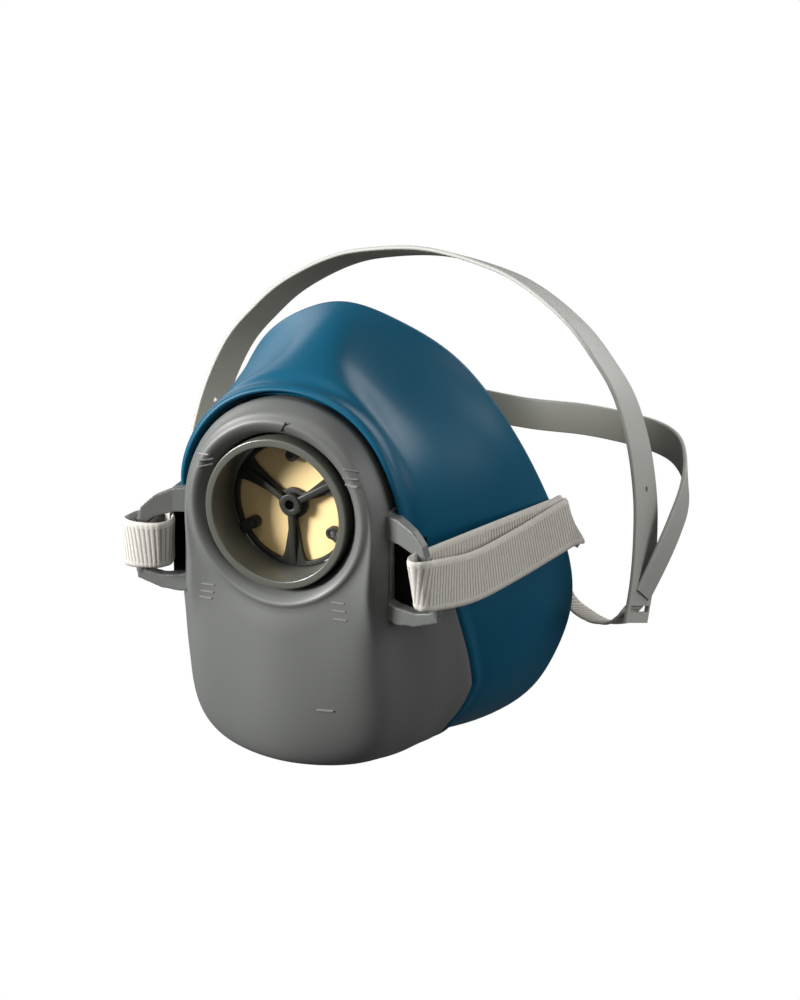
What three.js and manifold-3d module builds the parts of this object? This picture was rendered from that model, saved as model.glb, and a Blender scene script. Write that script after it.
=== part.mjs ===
// Half-mask respirator with one front filter port, a silicone cup, a moulded front cover and a head harness.
// Units are millimetres. +Z is up, the mask faces -Y, and +X is the wearer's left.
// The origin is the centre of the opening that seals on the face.
import * as THREE from 'three';
import { mergeVertices } from 'three/addons/utils/BufferGeometryUtils.js';
import Module from 'manifold-3d';

const wasm = await Module();
wasm.setup();

// ---------- driving dimensions ----------
// Everything is drawn from the centre of the port's front rim, which lies here in the part's frame.
const PORT_CENTRE = new THREE.Vector3(0, -62, 16);

const TUBE_OUTER_R = 21.8;
const TUBE_INNER_R = 19.5;
const TUBE_SEAT_R = 18.9;
const TUBE_FLANGE_R = 23.4;
const RIM_ROUND = 0.45;
const COVER_HOLE_R = 24.3;
const COLLAR_CREST_R = 26.4;

const SEAT_RING_R = 18.6;
const SEAT_WINDOW_R = 17.4;
const SEAT_FRONT_Y = 11.7;
const SEAT_BACK_Y = 13.0;
const HUB_R = 3.2;
const HUB_FRONT_Y = 9.4;
const HUB_HOLE_R = 1.1;
const POST_R = 1.3;
const BARB_R = 2.3;
const VALVE_R = 18.3;
const VALVE_THICK = 0.7;
const VALVE_GAP = 0.3;

const EXHALE_Z = -40;
const EXHALE_SEAT_R = 13;
const EXHALE_WINDOW_R = 11;
const EXHALE_VALVE_R = 12.6;

const INSERT_FRONT_Y = 11.3;
const INSERT_BACK_Y = 16;
const LIP_FRONT_Y = 13.4;
const LIP_BACK_Y = 16;
const CLEARANCE = 0.35;
const INSERT_FLANGE = 1.6;

const CUP_WALL = 2.4;
const SEAL_WIDTH = 12;
const COVER_WALL = 2;
const WING_GAP = 0.5;
const WING_RAISE = 2.5;

const ELASTIC_WIDTH = 14.5;
const ELASTIC_THICK = 1.1;
const REAR_ELASTIC_WIDTH = 12.4;
const BAND_THICK = 1.3;
const CROWN_WIDTH = 16;
const REAR_WIDTH = 10.5;
const CROWN_PLANE_Y = 100;
const CROWN_LEAN = 0.326;
const HARNESS_YAW = -0.1;
const CROWN_SKEW = 0.08;
const CROWN_SKEW_Z = 5;
const CRADLE_SLOT_X = 78.3;
const CRADLE_SLOT_Z = -42;

const RING_STEPS = 60;
const SPLINE_SWEEPS = 40;
const SLIVER = 0.02;

// ---------- materials ----------
const material = (color, roughness) => new THREE.MeshStandardMaterial({ color, roughness, metalness: 0 });
const SILICONE = material(0x1f5a80, 0.5);
const COVER_PLASTIC = material(0x74746f, 0.55);
const SOCKET_PLASTIC = material(0x66665c, 0.45);
const INSERT_PLASTIC = material(0x3c3d3b, 0.6);
const GASKET_RUBBER = material(0x151515, 0.7);
const VALVE_RUBBER = material(0xe0c98a, 0.6);
const ELASTIC = material(0xbdb5b0, 0.9);
const BAND_PLASTIC = material(0xa6a69e, 0.6);
const CLASP_PLASTIC = material(0x55564f, 0.5);

// ---------- curves ----------
const v3 = (p) => new THREE.Vector3(...p);

// A half outline runs from the top of the mask down its +X side to the bottom; this adds the other half.
function mirrored(half) {
  const inner = half.slice(1, -1).reverse();
  return [...half, ...inner.map(([x, y, z]) => [-x, y, z])].map(v3);
}

// Points along a smooth closed curve through the given points, steps in all.
function smoothLoop(points, steps) {
  const n = points.length;
  const chordAt = (i) => points[(i + 1) % n].clone().sub(points[(i + n - 1) % n]);
  const slope = points.map((_, i) => chordAt(i).multiplyScalar(0.5));
  for (let sweep = 0; sweep < SPLINE_SWEEPS; sweep++) {
    for (let i = 0; i < n; i++) {
      const chord = chordAt(i).multiplyScalar(3);
      slope[i] = chord.sub(slope[(i + 1) % n]).sub(slope[(i + n - 1) % n]).multiplyScalar(0.25);
    }
  }
  return Array.from({ length: steps }, (_, k) => {
    const t = (k * n) / steps;
    const i = Math.floor(t);
    return hermite(points[i], points[(i + 1) % n], slope[i], slope[(i + 1) % n], t - i);
  });
}

function hermite(p0, p1, m0, m1, f) {
  const g = 1 - f;
  return p0.clone().multiplyScalar((1 + 2 * f) * g * g)
    .addScaledVector(m0, f * g * g)
    .addScaledVector(p1, f * f * (3 - 2 * f))
    .addScaledVector(m1, -f * f * g);
}

// A point at u (in row numbers) on the curve through one column of rows.
function acrossRows(column, u) {
  const last = column.length - 1;
  const i = Math.min(Math.floor(u), last - 1);
  const slopeAt = (k) => {
    const before = column[Math.max(k - 1, 0)];
    const after = column[Math.min(k + 1, last)];
    return after.clone().sub(before).divideScalar(Math.min(k + 1, last) - Math.max(k - 1, 0));
  };
  return hermite(column[i], column[i + 1], slopeAt(i), slopeAt(i + 1), u - i);
}

// ---------- mesh tools ----------
function meshGeometry(vertices, triangles) {
  const geometry = new THREE.BufferGeometry();
  const coordinates = vertices.flatMap((p) => p.toArray());
  geometry.setAttribute('position', new THREE.Float32BufferAttribute(coordinates, 3));
  geometry.setIndex(triangles);
  return geometry;
}

function enclosedVolume(geometry) {
  const position = geometry.getAttribute('position');
  const index = geometry.getIndex().array;
  const [a, b, c] = [new THREE.Vector3(), new THREE.Vector3(), new THREE.Vector3()];
  let volume = 0;
  for (let i = 0; i < index.length; i += 3) {
    a.fromBufferAttribute(position, index[i]);
    b.fromBufferAttribute(position, index[i + 1]);
    c.fromBufferAttribute(position, index[i + 2]);
    volume += a.dot(b.cross(c)) / 6;
  }
  return volume;
}

function facingOut(geometry) {
  if (enclosedVolume(geometry) > 0) return geometry;
  const index = Array.from(geometry.getIndex().array);
  for (let i = 0; i < index.length; i += 3) [index[i], index[i + 1]] = [index[i + 1], index[i]];
  geometry.setIndex(index);
  return geometry;
}

// A solid whose section is a closed profile, repeated along a closed ring: sections[t][k].
function ringSolid(sections) {
  const nt = sections.length;
  const nk = sections[0].length;
  const triangles = [];
  for (let t = 0; t < nt; t++) {
    for (let k = 0; k < nk; k++) {
      const a = t * nk + k;
      const b = t * nk + ((k + 1) % nk);
      const c = ((t + 1) % nt) * nk + ((k + 1) % nk);
      const d = ((t + 1) % nt) * nk + k;
      triangles.push(a, b, c, a, c, d);
    }
  }
  return facingOut(meshGeometry(sections.flat(), triangles));
}

// A solid swept through closed sections that are convex, with a flat end at each side: sections[s][k].
function sweptSolid(sections) {
  const ns = sections.length;
  const nk = sections[0].length;
  const triangles = [];
  for (let s = 0; s < ns - 1; s++) {
    for (let k = 0; k < nk; k++) {
      const a = s * nk + k;
      const b = s * nk + ((k + 1) % nk);
      if (k < nk / 2) triangles.push(a, b, b + nk, a, b + nk, a + nk);
      else triangles.push(a, b, a + nk, b, b + nk, a + nk);
    }
  }
  for (let k = 1; k < nk - 1; k++) {
    triangles.push(0, k + 1, k);
    const end = (ns - 1) * nk;
    triangles.push(end, end + k, end + k + 1);
  }
  return facingOut(meshGeometry(sections.flat(), triangles));
}

// A patch of a curved sheet with thickness: outer[r][c] and inner[r][c] are its two faces.
function sheetSolid(outer, inner) {
  const rows = outer.length;
  const columns = outer[0].length;
  const half = rows * columns;
  const at = (side, r, c) => side * half + r * columns + c;
  const triangles = [];
  const quad = (a, b, c, d) => triangles.push(a, b, c, a, c, d);
  for (let r = 0; r < rows - 1; r++) {
    for (let c = 0; c < columns - 1; c++) {
      quad(at(0, r, c), at(0, r, c + 1), at(0, r + 1, c + 1), at(0, r + 1, c));
      quad(at(1, r, c), at(1, r + 1, c), at(1, r + 1, c + 1), at(1, r, c + 1));
    }
  }
  for (let c = 0; c < columns - 1; c++) {
    quad(at(0, 0, c), at(1, 0, c), at(1, 0, c + 1), at(0, 0, c + 1));
    quad(at(0, rows - 1, c), at(0, rows - 1, c + 1), at(1, rows - 1, c + 1), at(1, rows - 1, c));
  }
  for (let r = 0; r < rows - 1; r++) {
    quad(at(0, r, 0), at(0, r + 1, 0), at(1, r + 1, 0), at(1, r, 0));
    quad(at(0, r, columns - 1), at(1, r, columns - 1), at(1, r + 1, columns - 1), at(0, r + 1, columns - 1));
  }
  return facingOut(meshGeometry([...outer.flat(), ...inner.flat()], triangles));
}

// A flat strap along a curve through points; across gives the direction of its width at each point.
function ribbon(points, across, width, thickness, steps) {
  const path = points.map(v3);
  const widths = across.map(v3);
  const last = path.length - 1;
  const sections = [];
  for (let s = 0; s <= steps; s++) {
    const u = (s * last) / steps;
    const centre = acrossRows(path, u);
    const ahead = acrossRows(path, Math.min(u + 0.02, last));
    const behind = acrossRows(path, Math.max(u - 0.02, 0));
    const tangent = ahead.sub(behind).normalize();
    const i = Math.min(Math.floor(u), last - 1);
    const wide = widths[i].clone().lerp(widths[i + 1], u - i);
    wide.addScaledVector(tangent, -wide.dot(tangent)).normalize().multiplyScalar(width / 2);
    const thick = tangent.cross(wide).normalize().multiplyScalar(thickness / 2);
    const corner = (w, t) => centre.clone().addScaledVector(wide, w).addScaledVector(thick, t);
    sections.push([corner(1, 1), corner(-1, 1), corner(-1, -1), corner(1, -1)]);
  }
  return sweptSolid(sections);
}

function toSolid(geometry) {
  let source = geometry;
  if (source.getAttribute('normal') || source.getAttribute('uv')) {
    source = geometry.clone();
    source.deleteAttribute('normal');
    source.deleteAttribute('uv');
  }
  source = mergeVertices(source, 1e-4);
  const vertProperties = Float32Array.from(source.getAttribute('position').array);
  const triVerts = Uint32Array.from(source.getIndex().array);
  return new wasm.Manifold(new wasm.Mesh({ numProp: 3, vertProperties, triVerts }));
}

// Booleans leave slivers, so short edges are merged first.
function toGeometry(solid) {
  const mesh = solid.asOriginal().simplify(SLIVER).getMesh();
  const geometry = new THREE.BufferGeometry();
  geometry.setAttribute('position', new THREE.BufferAttribute(mesh.vertProperties.slice(), 3));
  geometry.setIndex(new THREE.BufferAttribute(mesh.triVerts.slice(), 1));
  return geometry;
}

const joined = (...pieces) => toGeometry(pieces.map(toSolid).reduce((a, b) => a.add(b)));
const cut = (piece, ...tools) => toGeometry(tools.reduce((a, b) => a.subtract(toSolid(b)), toSolid(piece)));

// A turned piece about the port's axis: profile points are [radius, depth behind the port's rim].
function turned(profile, segments = 44) {
  const geometry = new THREE.LatheGeometry(profile.map(([r, y]) => new THREE.Vector2(r, y)), segments);
  return facingOut(mergeVertices(withoutExtras(geometry), 1e-4));
}

function withoutExtras(geometry) {
  geometry.deleteAttribute('normal');
  geometry.deleteAttribute('uv');
  return geometry;
}

// A ring of rectangular section between two radii and two depths.
function ring(innerR, outerR, frontY, backY, segments = 44) {
  const profile = [[innerR, frontY], [outerR, frontY], [outerR, backY], [innerR, backY], [innerR, frontY]];
  return turned(profile, segments);
}

function block(low, high) {
  const size = v3(high).sub(v3(low));
  const geometry = new THREE.BoxGeometry(size.x, size.y, size.z);
  geometry.translate(low[0] + size.x / 2, low[1] + size.y / 2, low[2] + size.z / 2);
  return withoutExtras(geometry);
}

// A round bar between two points.
function bar(from, to, radius, segments = 12) {
  const [a, b] = [v3(from), v3(to)];
  const along = b.clone().sub(a).normalize();
  const geometry = new THREE.CylinderGeometry(radius, radius, a.distanceTo(b), segments);
  geometry.applyQuaternion(new THREE.Quaternion().setFromUnitVectors(new THREE.Vector3(0, 1, 0), along));
  geometry.translate(...a.add(b).multiplyScalar(0.5).toArray());
  return withoutExtras(geometry);
}

// A flat plate in the X-Z plane with the given outline and holes, between two depths.
function plate(outline, holes, frontY, backY) {
  const shape = new THREE.Shape(outline.map((p) => new THREE.Vector2(p.x, p.z)));
  for (const hole of holes) shape.holes.push(new THREE.Path(hole.map((p) => new THREE.Vector2(p.x, p.z))));
  const geometry = new THREE.ExtrudeGeometry(shape, { depth: backY - frontY, bevelEnabled: false });
  geometry.rotateX(Math.PI / 2);
  geometry.translate(0, backY, 0);
  return facingOut(mergeVertices(withoutExtras(geometry), 1e-4));
}

function circle(radius, z, steps) {
  return Array.from({ length: steps }, (_, i) => {
    const a = (2 * Math.PI * i) / steps;
    return new THREE.Vector3(radius * Math.cos(a), 0, z + radius * Math.sin(a));
  });
}

const flat = (half, y) => half.map(([x, z]) => [x, y, z]);

// Moves each point of a flat closed loop outward in its own plane.
function grown(loop, by) {
  return loop.map((p, i) => {
    const along = loop[(i + 1) % loop.length].clone().sub(loop[(i + loop.length - 1) % loop.length]);
    const outward = new THREE.Vector3(-along.z, 0, along.x).normalize();
    return p.clone().addScaledVector(outward, by);
  });
}

// ---------- silicone cup ----------
// Rows run round the cup, from the neck at the front to the rim on the face. Each starts at the nose
// and ends at the chin, and lists x, depth behind the port's rim, and height above its centre.
const INSERT_OUTLINE = [
  [0, 25.5], [12, 22.5], [21, 14.5], [25.5, 3], [25.5, -9], [25.5, -22],
  [25.5, -35], [24.5, -46], [20, -54.5], [11, -59.5], [0, -61],
];
const GUTTER = [
  [0, 32.2], [13.8, 29.2], [25, 19.9], [31.2, 6.2], [32, -8], [32.2, -22],
  [32.2, -36], [31, -49], [27, -60], [16, -68], [0, -71],
];
const BEAD = [
  [0, 8.6, 33.4], [14.6, 8.4, 30.3], [26.2, 8.2, 20.8], [32.8, 8.4, 6.5], [33.8, 11.5, -8], [34, 13.2, -22],
  [34, 13.6, -36], [32.5, 14, -49.5], [28.5, 15, -61.5], [17, 17, -70], [0, 18, -73],
];
const CUP_ROWS = [
  [[0, 11.5, 35.2], [16, 11.5, 32], [28.5, 12, 22], [35, 12.5, 7], [35.5, 14.5, -8], [36, 16, -23],
    [36, 17, -38], [35.5, 18, -52], [31.5, 20, -65], [19, 23, -73], [0, 24, -75.5]],
  [[0, 27, 42.5], [9.5, 27.3, 39.6], [21, 29.6, 28.8], [37, 32, 12.5], [41, 32, -8], [42, 32, -26],
    [42, 33, -41.5], [40.5, 34, -56], [35, 35, -68], [22, 37, -76.5], [0, 38, -78.6]],
  [[0, 40, 48], [10.8, 41.8, 44.6], [26, 46.5, 33], [43, 50.5, 13.5], [49, 54, -7.5], [51.5, 55, -26],
    [52, 55, -43], [48.5, 54, -59.5], [40, 52, -72], [24, 47, -79.5], [0, 45, -81.3]],
  [[0, 47, 50], [14.8, 49.5, 45.7], [31.5, 56, 33.6], [45, 64, 13], [53, 70.5, -7], [58.5, 75, -26],
    [59.5, 76.5, -44], [54.5, 74, -61], [45, 69, -74], [26, 58, -82], [0, 52, -84]],
];
const FLANK_STEPS = 6;

const insertLoop = smoothLoop(mirrored(flat(INSERT_OUTLINE, 0)), RING_STEPS);
const gutterLoop = smoothLoop(mirrored(flat(GUTTER, LIP_FRONT_Y)), RING_STEPS);
const beadLoop = smoothLoop(mirrored(BEAD), RING_STEPS);
const cupLoops = CUP_ROWS.map((row) => smoothLoop(mirrored(row), RING_STEPS));
const cupColumn = (t) => cupLoops.map((loop) => loop[(t + RING_STEPS) % RING_STEPS]);
const cupPoint = (t, u) => acrossRows(cupColumn(t), u * (cupLoops.length - 1));

// The outward normal of the cup's flank at column t and fraction u of the way to the rim.
function cupNormal(t, u) {
  const along = cupPoint(t + 1, u).sub(cupPoint(t - 1, u));
  const back = cupPoint(t, Math.min(u + 0.03, 1)).sub(cupPoint(t, Math.max(u - 0.03, 0)));
  return along.cross(back).normalize();
}

function facepieceCup() {
  const sections = [];
  for (let t = 0; t < RING_STEPS; t++) {
    const lip = grown(insertLoop, CLEARANCE)[t];
    const fractions = Array.from({ length: FLANK_STEPS + 1 }, (_, k) => k / FLANK_STEPS);
    const outer = fractions.map((u) => cupPoint(t, u));
    const inner = fractions.map((u) => cupPoint(t, u).addScaledVector(cupNormal(t, u), -CUP_WALL));
    const rim = outer[FLANK_STEPS];
    const out = cupNormal(t, 1);
    const back = rim.clone().sub(cupPoint(t, 0.97)).normalize();
    const fromRim = (along, inward) => rim.clone().addScaledVector(back, along).addScaledVector(out, -inward);
    const seal = [
      fromRim(1.2, 0.5), fromRim(1.7, 2), fromRim(1.2, SEAL_WIDTH * 0.5), fromRim(-1.5, SEAL_WIDTH),
      fromRim(-2.7, SEAL_WIDTH - 0.6), fromRim(-0.4, SEAL_WIDTH * 0.45),
    ];
    const bead = beadLoop[t];
    const shoulder = bead.clone().lerp(gutterLoop[t], 0.9).setY(LIP_BACK_Y + 0.4);
    sections.push([
      new THREE.Vector3(lip.x, LIP_FRONT_Y, lip.z), gutterLoop[t], bead, ...outer, ...seal,
      ...inner.slice(1, FLANK_STEPS).reverse(), shoulder, new THREE.Vector3(lip.x, LIP_BACK_Y, lip.z),
    ]);
  }
  return ringSolid(sections);
}

// ---------- front cover ----------
const COVER_FACE = [
  [0, 2.2, 29.3], [12.6, 2.1, 26.4], [22.4, 2, 18.2], [28, 1.8, 6], [29.3, 1.5, -8], [29.3, 1.2, -22],
  [29.3, 1, -36], [29, 1.5, -49], [26.5, 2.6, -61], [18, 4, -72], [0, 4, -75.5],
];
const COVER_EDGE = [
  [0, 7, 31.5], [13.4, 7, 28.5], [24.4, 6.9, 19.4], [30.5, 6.5, 6], [31.6, 6.3, -8], [31.8, 6, -22],
  [32.3, 6, -36.5], [32.9, 7, -50.5], [31.2, 8.6, -64.5], [22.3, 11.5, -75.6], [0, 10, -78.2],
];
const COVER_SKIRT = [
  [0, 12.7, 31.2], [13.2, 12.7, 28.3], [24.2, 12.7, 19.3], [30.2, 12.7, 6], [31.2, 12.7, -8],
  [31.4, 12.7, -22], [31.8, 12.7, -36.5], [32.6, 12.7, -50], [31.2, 14.5, -65], [22, 18.5, -76.2],
  [0, 19, -79.3],
];
const portAngles = [90, 65, 38, 12, -10, -27, -42, -55, -67, -79, -90];
const roundRow = (radius, y) => portAngles.map((deg) => {
  const a = THREE.MathUtils.degToRad(deg);
  return [radius * Math.cos(a), y, radius * Math.sin(a)];
});
// How far the jaw wings reach over the cup's flank, at positions of the half outline from the loops down.
const WING_FROM = 5.3;
const WING_REACH = [[5.3, 0.27], [6, 0.34], [7, 0.42], [8, 0.4], [9, 0.5], [10, 0.68]];
const WING_ROWS = 5;

function wingReach(position) {
  const p = Math.min(position, 20 - position);
  const next = WING_REACH.findIndex(([at]) => at >= p);
  if (next <= 0) return WING_REACH[0][1];
  const [[a, ra], [b, rb]] = [WING_REACH[next - 1], WING_REACH[next]];
  return ra + ((rb - ra) * (p - a)) / (b - a);
}

const coverLoops = [
  roundRow(COVER_HOLE_R, 2.4), roundRow(COLLAR_CREST_R, 0.4), COVER_FACE, COVER_EDGE, COVER_SKIRT,
].map((row) => smoothLoop(mirrored(row), RING_STEPS));

function coverShell() {
  const sections = [];
  for (let t = 0; t < RING_STEPS; t++) {
    const column = coverLoops.map((loop) => loop[t]);
    const before = coverLoops.map((loop) => loop[(t + RING_STEPS - 1) % RING_STEPS]);
    const after = coverLoops.map((loop) => loop[(t + 1) % RING_STEPS]);
    const normals = column.map((_, k) => {
      const along = after[k].clone().sub(before[k]);
      const back = column[Math.min(k + 1, 4)].clone().sub(column[Math.max(k - 1, 0)]);
      return along.cross(back).normalize();
    });
    const inner = column.map((p, k) => p.clone().addScaledVector(normals[k], -COVER_WALL));
    inner[0].copy(column[0]).setY(column[0].y + COVER_WALL);
    sections.push([...column, ...inner.reverse()]);
  }
  return ringSolid(sections);
}

function coverWing() {
  const perPosition = RING_STEPS / 20;
  const first = Math.ceil(WING_FROM * perPosition);
  const columns = Array.from({ length: RING_STEPS - 2 * first + 1 }, (_, i) => first + i);
  const outer = [];
  const inner = [];
  const skirtPoint = (t, f, inward) => {
    const p = coverLoops[3][t].clone().lerp(coverLoops[4][t], f);
    const middle = new THREE.Vector3(0, p.y, -40);
    return p.addScaledVector(middle.sub(p).normalize(), inward);
  };
  outer.push(columns.map((t) => skirtPoint(t, 0.25, 0.8)));
  inner.push(columns.map((t) => skirtPoint(t, 0.9, 1.2)));
  const nearBead = (t, raise) => {
    const out = cupNormal(t, 0).add(new THREE.Vector3(0, -0.8, 0)).normalize();
    return beadLoop[t].clone().addScaledVector(out, raise);
  };
  outer.push(columns.map((t) => nearBead(t, WING_RAISE + 0.5)));
  inner.push(columns.map((t) => nearBead(t, WING_GAP)));
  for (let r = 0; r <= WING_ROWS; r++) {
    const u = (t) => (wingReach(t / perPosition) * r) / WING_ROWS;
    const raised = (t, by) => cupPoint(t, u(t)).addScaledVector(cupNormal(t, u(t)), by);
    outer.push(columns.map((t) => raised(t, r === WING_ROWS ? WING_RAISE - 0.7 : WING_RAISE)));
    inner.push(columns.map((t) => raised(t, WING_GAP)));
  }
  return sheetSolid(outer, inner);
}

// Notches in the cover's sides let the strap loops out, and slots under the chin let the breath out.
const LOOP_TOP_Z = 2.2;
const LOOP_BOTTOM_Z = -27.5;
const OUTLET_SLOTS = [-12, -4, 4, 12];

function frontCover() {
  const notches = [-1, 1].map((side) => {
    const x = side * 32;
    return block([x - 5.2, 7.2, LOOP_BOTTOM_Z - 0.4], [x + 5.2, 14, LOOP_TOP_Z + 0.4]);
  });
  const slots = OUTLET_SLOTS.map((x) => block([x - 2.4, 6.8, -90], [x + 2.4, 11.6, -72]));
  return cut(joined(coverShell(), coverWing()), ...notches, ...slots);
}

// ---------- hard parts behind the cover ----------
function frontInsert() {
  const outline = insertLoop;
  const exhaleHole = circle(EXHALE_SEAT_R + CLEARANCE, EXHALE_Z, 32);
  const seatHole = circle(SEAT_RING_R + 0.6, 0, 40);
  const back = plate(outline, [seatHole, exhaleHole], LIP_FRONT_Y - 0.4, INSERT_BACK_Y);
  const front = plate(grown(outline, INSERT_FLANGE), [circle(TUBE_FLANGE_R + CLEARANCE, 0, 40), exhaleHole],
    INSERT_FRONT_Y, LIP_FRONT_Y - 0.35);
  return joined(back, front);
}

function filterSocket() {
  return turned([
    [TUBE_INNER_R, RIM_ROUND], [TUBE_INNER_R + RIM_ROUND, 0], [TUBE_OUTER_R - RIM_ROUND, 0],
    [TUBE_OUTER_R, RIM_ROUND], [TUBE_OUTER_R, 10.6], [TUBE_FLANGE_R, 11.2], [TUBE_FLANGE_R, 12.6],
    [TUBE_SEAT_R, 12.6], [TUBE_INNER_R, RIM_ROUND],
  ], 56);
}

const portGasket = () => ring(TUBE_OUTER_R + 0.3, COVER_HOLE_R - 0.3, 6.5, 10.2);

const SPOKE_ANGLES = [30, 150, 270];
const TAB_ANGLES = [90, 210, 330];

// A flat fin standing on the seat: it runs outward from the hub, and its front edge slopes back.
function fin(angle, innerR, outerR, innerFrontY, outerFrontY, thick) {
  const shape = new THREE.Shape([
    new THREE.Vector2(innerR, innerFrontY), new THREE.Vector2(outerR, outerFrontY),
    new THREE.Vector2(outerR, SEAT_BACK_Y), new THREE.Vector2(innerR, SEAT_BACK_Y),
  ]);
  const geometry = new THREE.ExtrudeGeometry(shape, { depth: thick, bevelEnabled: false });
  geometry.translate(0, 0, -thick / 2);
  geometry.rotateY(-THREE.MathUtils.degToRad(angle));
  return mergeVertices(withoutExtras(geometry), 1e-4);
}

function inhalationSeat() {
  const hub = turned([
    [0, HUB_FRONT_Y + 1.6], [HUB_HOLE_R, HUB_FRONT_Y + 1.6], [HUB_HOLE_R, HUB_FRONT_Y],
    [HUB_R - 0.5, HUB_FRONT_Y], [HUB_R, HUB_FRONT_Y + 0.5], [HUB_R, SEAT_BACK_Y],
    [POST_R, SEAT_BACK_Y], [POST_R, 16.2], [BARB_R, 16.2], [POST_R, 17.8], [0, 17.8],
  ], 20);
  const tip = SEAT_RING_R - 0.4;
  const spokes = SPOKE_ANGLES.map((a) => fin(a, HUB_R - 0.8, tip, HUB_FRONT_Y + 0.5, SEAT_FRONT_Y, 1.9));
  const tabs = TAB_ANGLES.map((a) => fin(a, SEAT_WINDOW_R - 5, tip, SEAT_FRONT_Y, SEAT_FRONT_Y - 0.4, 2));
  return joined(ring(SEAT_WINDOW_R, SEAT_RING_R, SEAT_FRONT_Y, SEAT_BACK_Y), hub, ...spokes, ...tabs);
}

const valveDisc = (radius, frontY, holeR) => ring(holeR, radius, frontY, frontY + VALVE_THICK, 40);
const inhalationValve = () => valveDisc(VALVE_R, SEAT_BACK_Y + VALVE_GAP, POST_R + 0.4);

function exhalationSeat() {
  const hub = turned([
    [0, 8.3], [POST_R, 8.3], [BARB_R, 9.6], [POST_R, 9.6],
    [POST_R, 12.4], [HUB_R, 12.4], [HUB_R, 14], [0, 14],
  ], 20);
  const spokes = [90, 210, 330].map((a) => {
    const spoke = block([HUB_R - 0.8, 12.4, -0.9], [EXHALE_WINDOW_R + 0.5, 14, 0.9]);
    spoke.rotateY(-THREE.MathUtils.degToRad(a));
    return spoke;
  });
  const seat = joined(ring(EXHALE_WINDOW_R, EXHALE_SEAT_R, 12.4, 15.2, 36), hub, ...spokes);
  return seat.translate(0, 0, EXHALE_Z);
}

function exhalationValve() {
  const valve = valveDisc(EXHALE_VALVE_R, 12.4 - VALVE_GAP - VALVE_THICK, POST_R + 0.4);
  return valve.translate(0, 0, EXHALE_Z);
}

// Inside the mask a ring presses the cup's lip against the insert.
function cupClampRing() {
  const hole = grown(insertLoop, -3.2).reverse();
  return plate(grown(insertLoop, 3.6), [hole], INSERT_BACK_Y + 0.3, INSERT_BACK_Y + 2.1);
}

// ---------- strap loops ----------
const LOOP_BAR_TOP = [43.5, 3.6, -3.2];
const LOOP_BAR_BOTTOM = [46.5, 6.6, -25];
const LOOP_BAR_R = 1.25;

function strapLoop(side) {
  const at = ([x, y, z]) => [side * x, y, z];
  const arm = (from, to, height, depth) => {
    const [a, b] = [v3(at(from)), v3(at(to))];
    const corners = (p) => [[-1, -1], [1, -1], [1, 1], [-1, 1]].map(([h, d]) =>
      p.clone().add(new THREE.Vector3(0, (d * depth) / 2, (h * height) / 2)));
    return sweptSolid([corners(a), corners(b)]);
  };
  const base = block([-1.7, 8.6, LOOP_BOTTOM_Z], [1.7, 12.4, LOOP_TOP_Z]).translate(side * 29.9, 0, 0);
  const upper = arm([30.5, 9.6, 0.2], LOOP_BAR_TOP, 3.2, 2.4);
  const lower = arm([30.5, 9.6, LOOP_BOTTOM_Z + 2.2], LOOP_BAR_BOTTOM, 3.2, 2.4);
  return joined(base, upper, lower, bar(at(LOOP_BAR_TOP), at(LOOP_BAR_BOTTOM), LOOP_BAR_R));
}

// ---------- elastic and harness ----------
// The front elastic comes round the cheek rim, runs forward outside the cup, turns round the loop's bar and
// runs back inside itself, round the rim again. Its two ends lie behind the rim.
const FRONT_ELASTIC = [
  [52, 88.2, -24.5], [54.6, 84.2, -21.5], [57.9, 80.6, -19], [59.4, 76.6, -17.2], [58.4, 68, -17],
  [54.6, 45, -16], [50.6, 22, -15], [47.6, 5, -14.4], [46, -0.4, -14], [43, -1.6, -13.8],
  [41.6, 1.2, -13.6], [43.2, 7, -13.4],
  [47.4, 24, -13.8], [52, 45, -14.6], [56.3, 66, -15.6], [57.9, 75.4, -16.4], [56.8, 78.6, -17.4],
  [52, 80.2, -21], [47, 80.4, -26], [43, 80.4, -31.5],
];
const RIM_ACROSS = [0.27, 0.3, -0.92];
const BAR_ACROSS = [0.1, 0.14, -0.98];
const FRONT_ACROSS = [
  [0.2, 0.5, -0.84], [0.25, 0.4, -0.88], RIM_ACROSS, RIM_ACROSS, RIM_ACROSS, [0.2, 0.2, -0.95],
  [0.15, 0.16, -0.97], BAR_ACROSS, BAR_ACROSS, BAR_ACROSS, BAR_ACROSS, BAR_ACROSS,
  [0.15, 0.16, -0.97], [0.2, 0.2, -0.95], RIM_ACROSS, RIM_ACROSS, RIM_ACROSS,
  [0.3, 0.3, -0.9], [0.3, 0.32, -0.9], [0.3, 0.42, -0.86],
];
const frontElastic = (side) =>
  ribbon(mirrorX(FRONT_ELASTIC, side), mirrorX(FRONT_ACROSS, side), ELASTIC_WIDTH, ELASTIC_THICK, 60);

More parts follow.
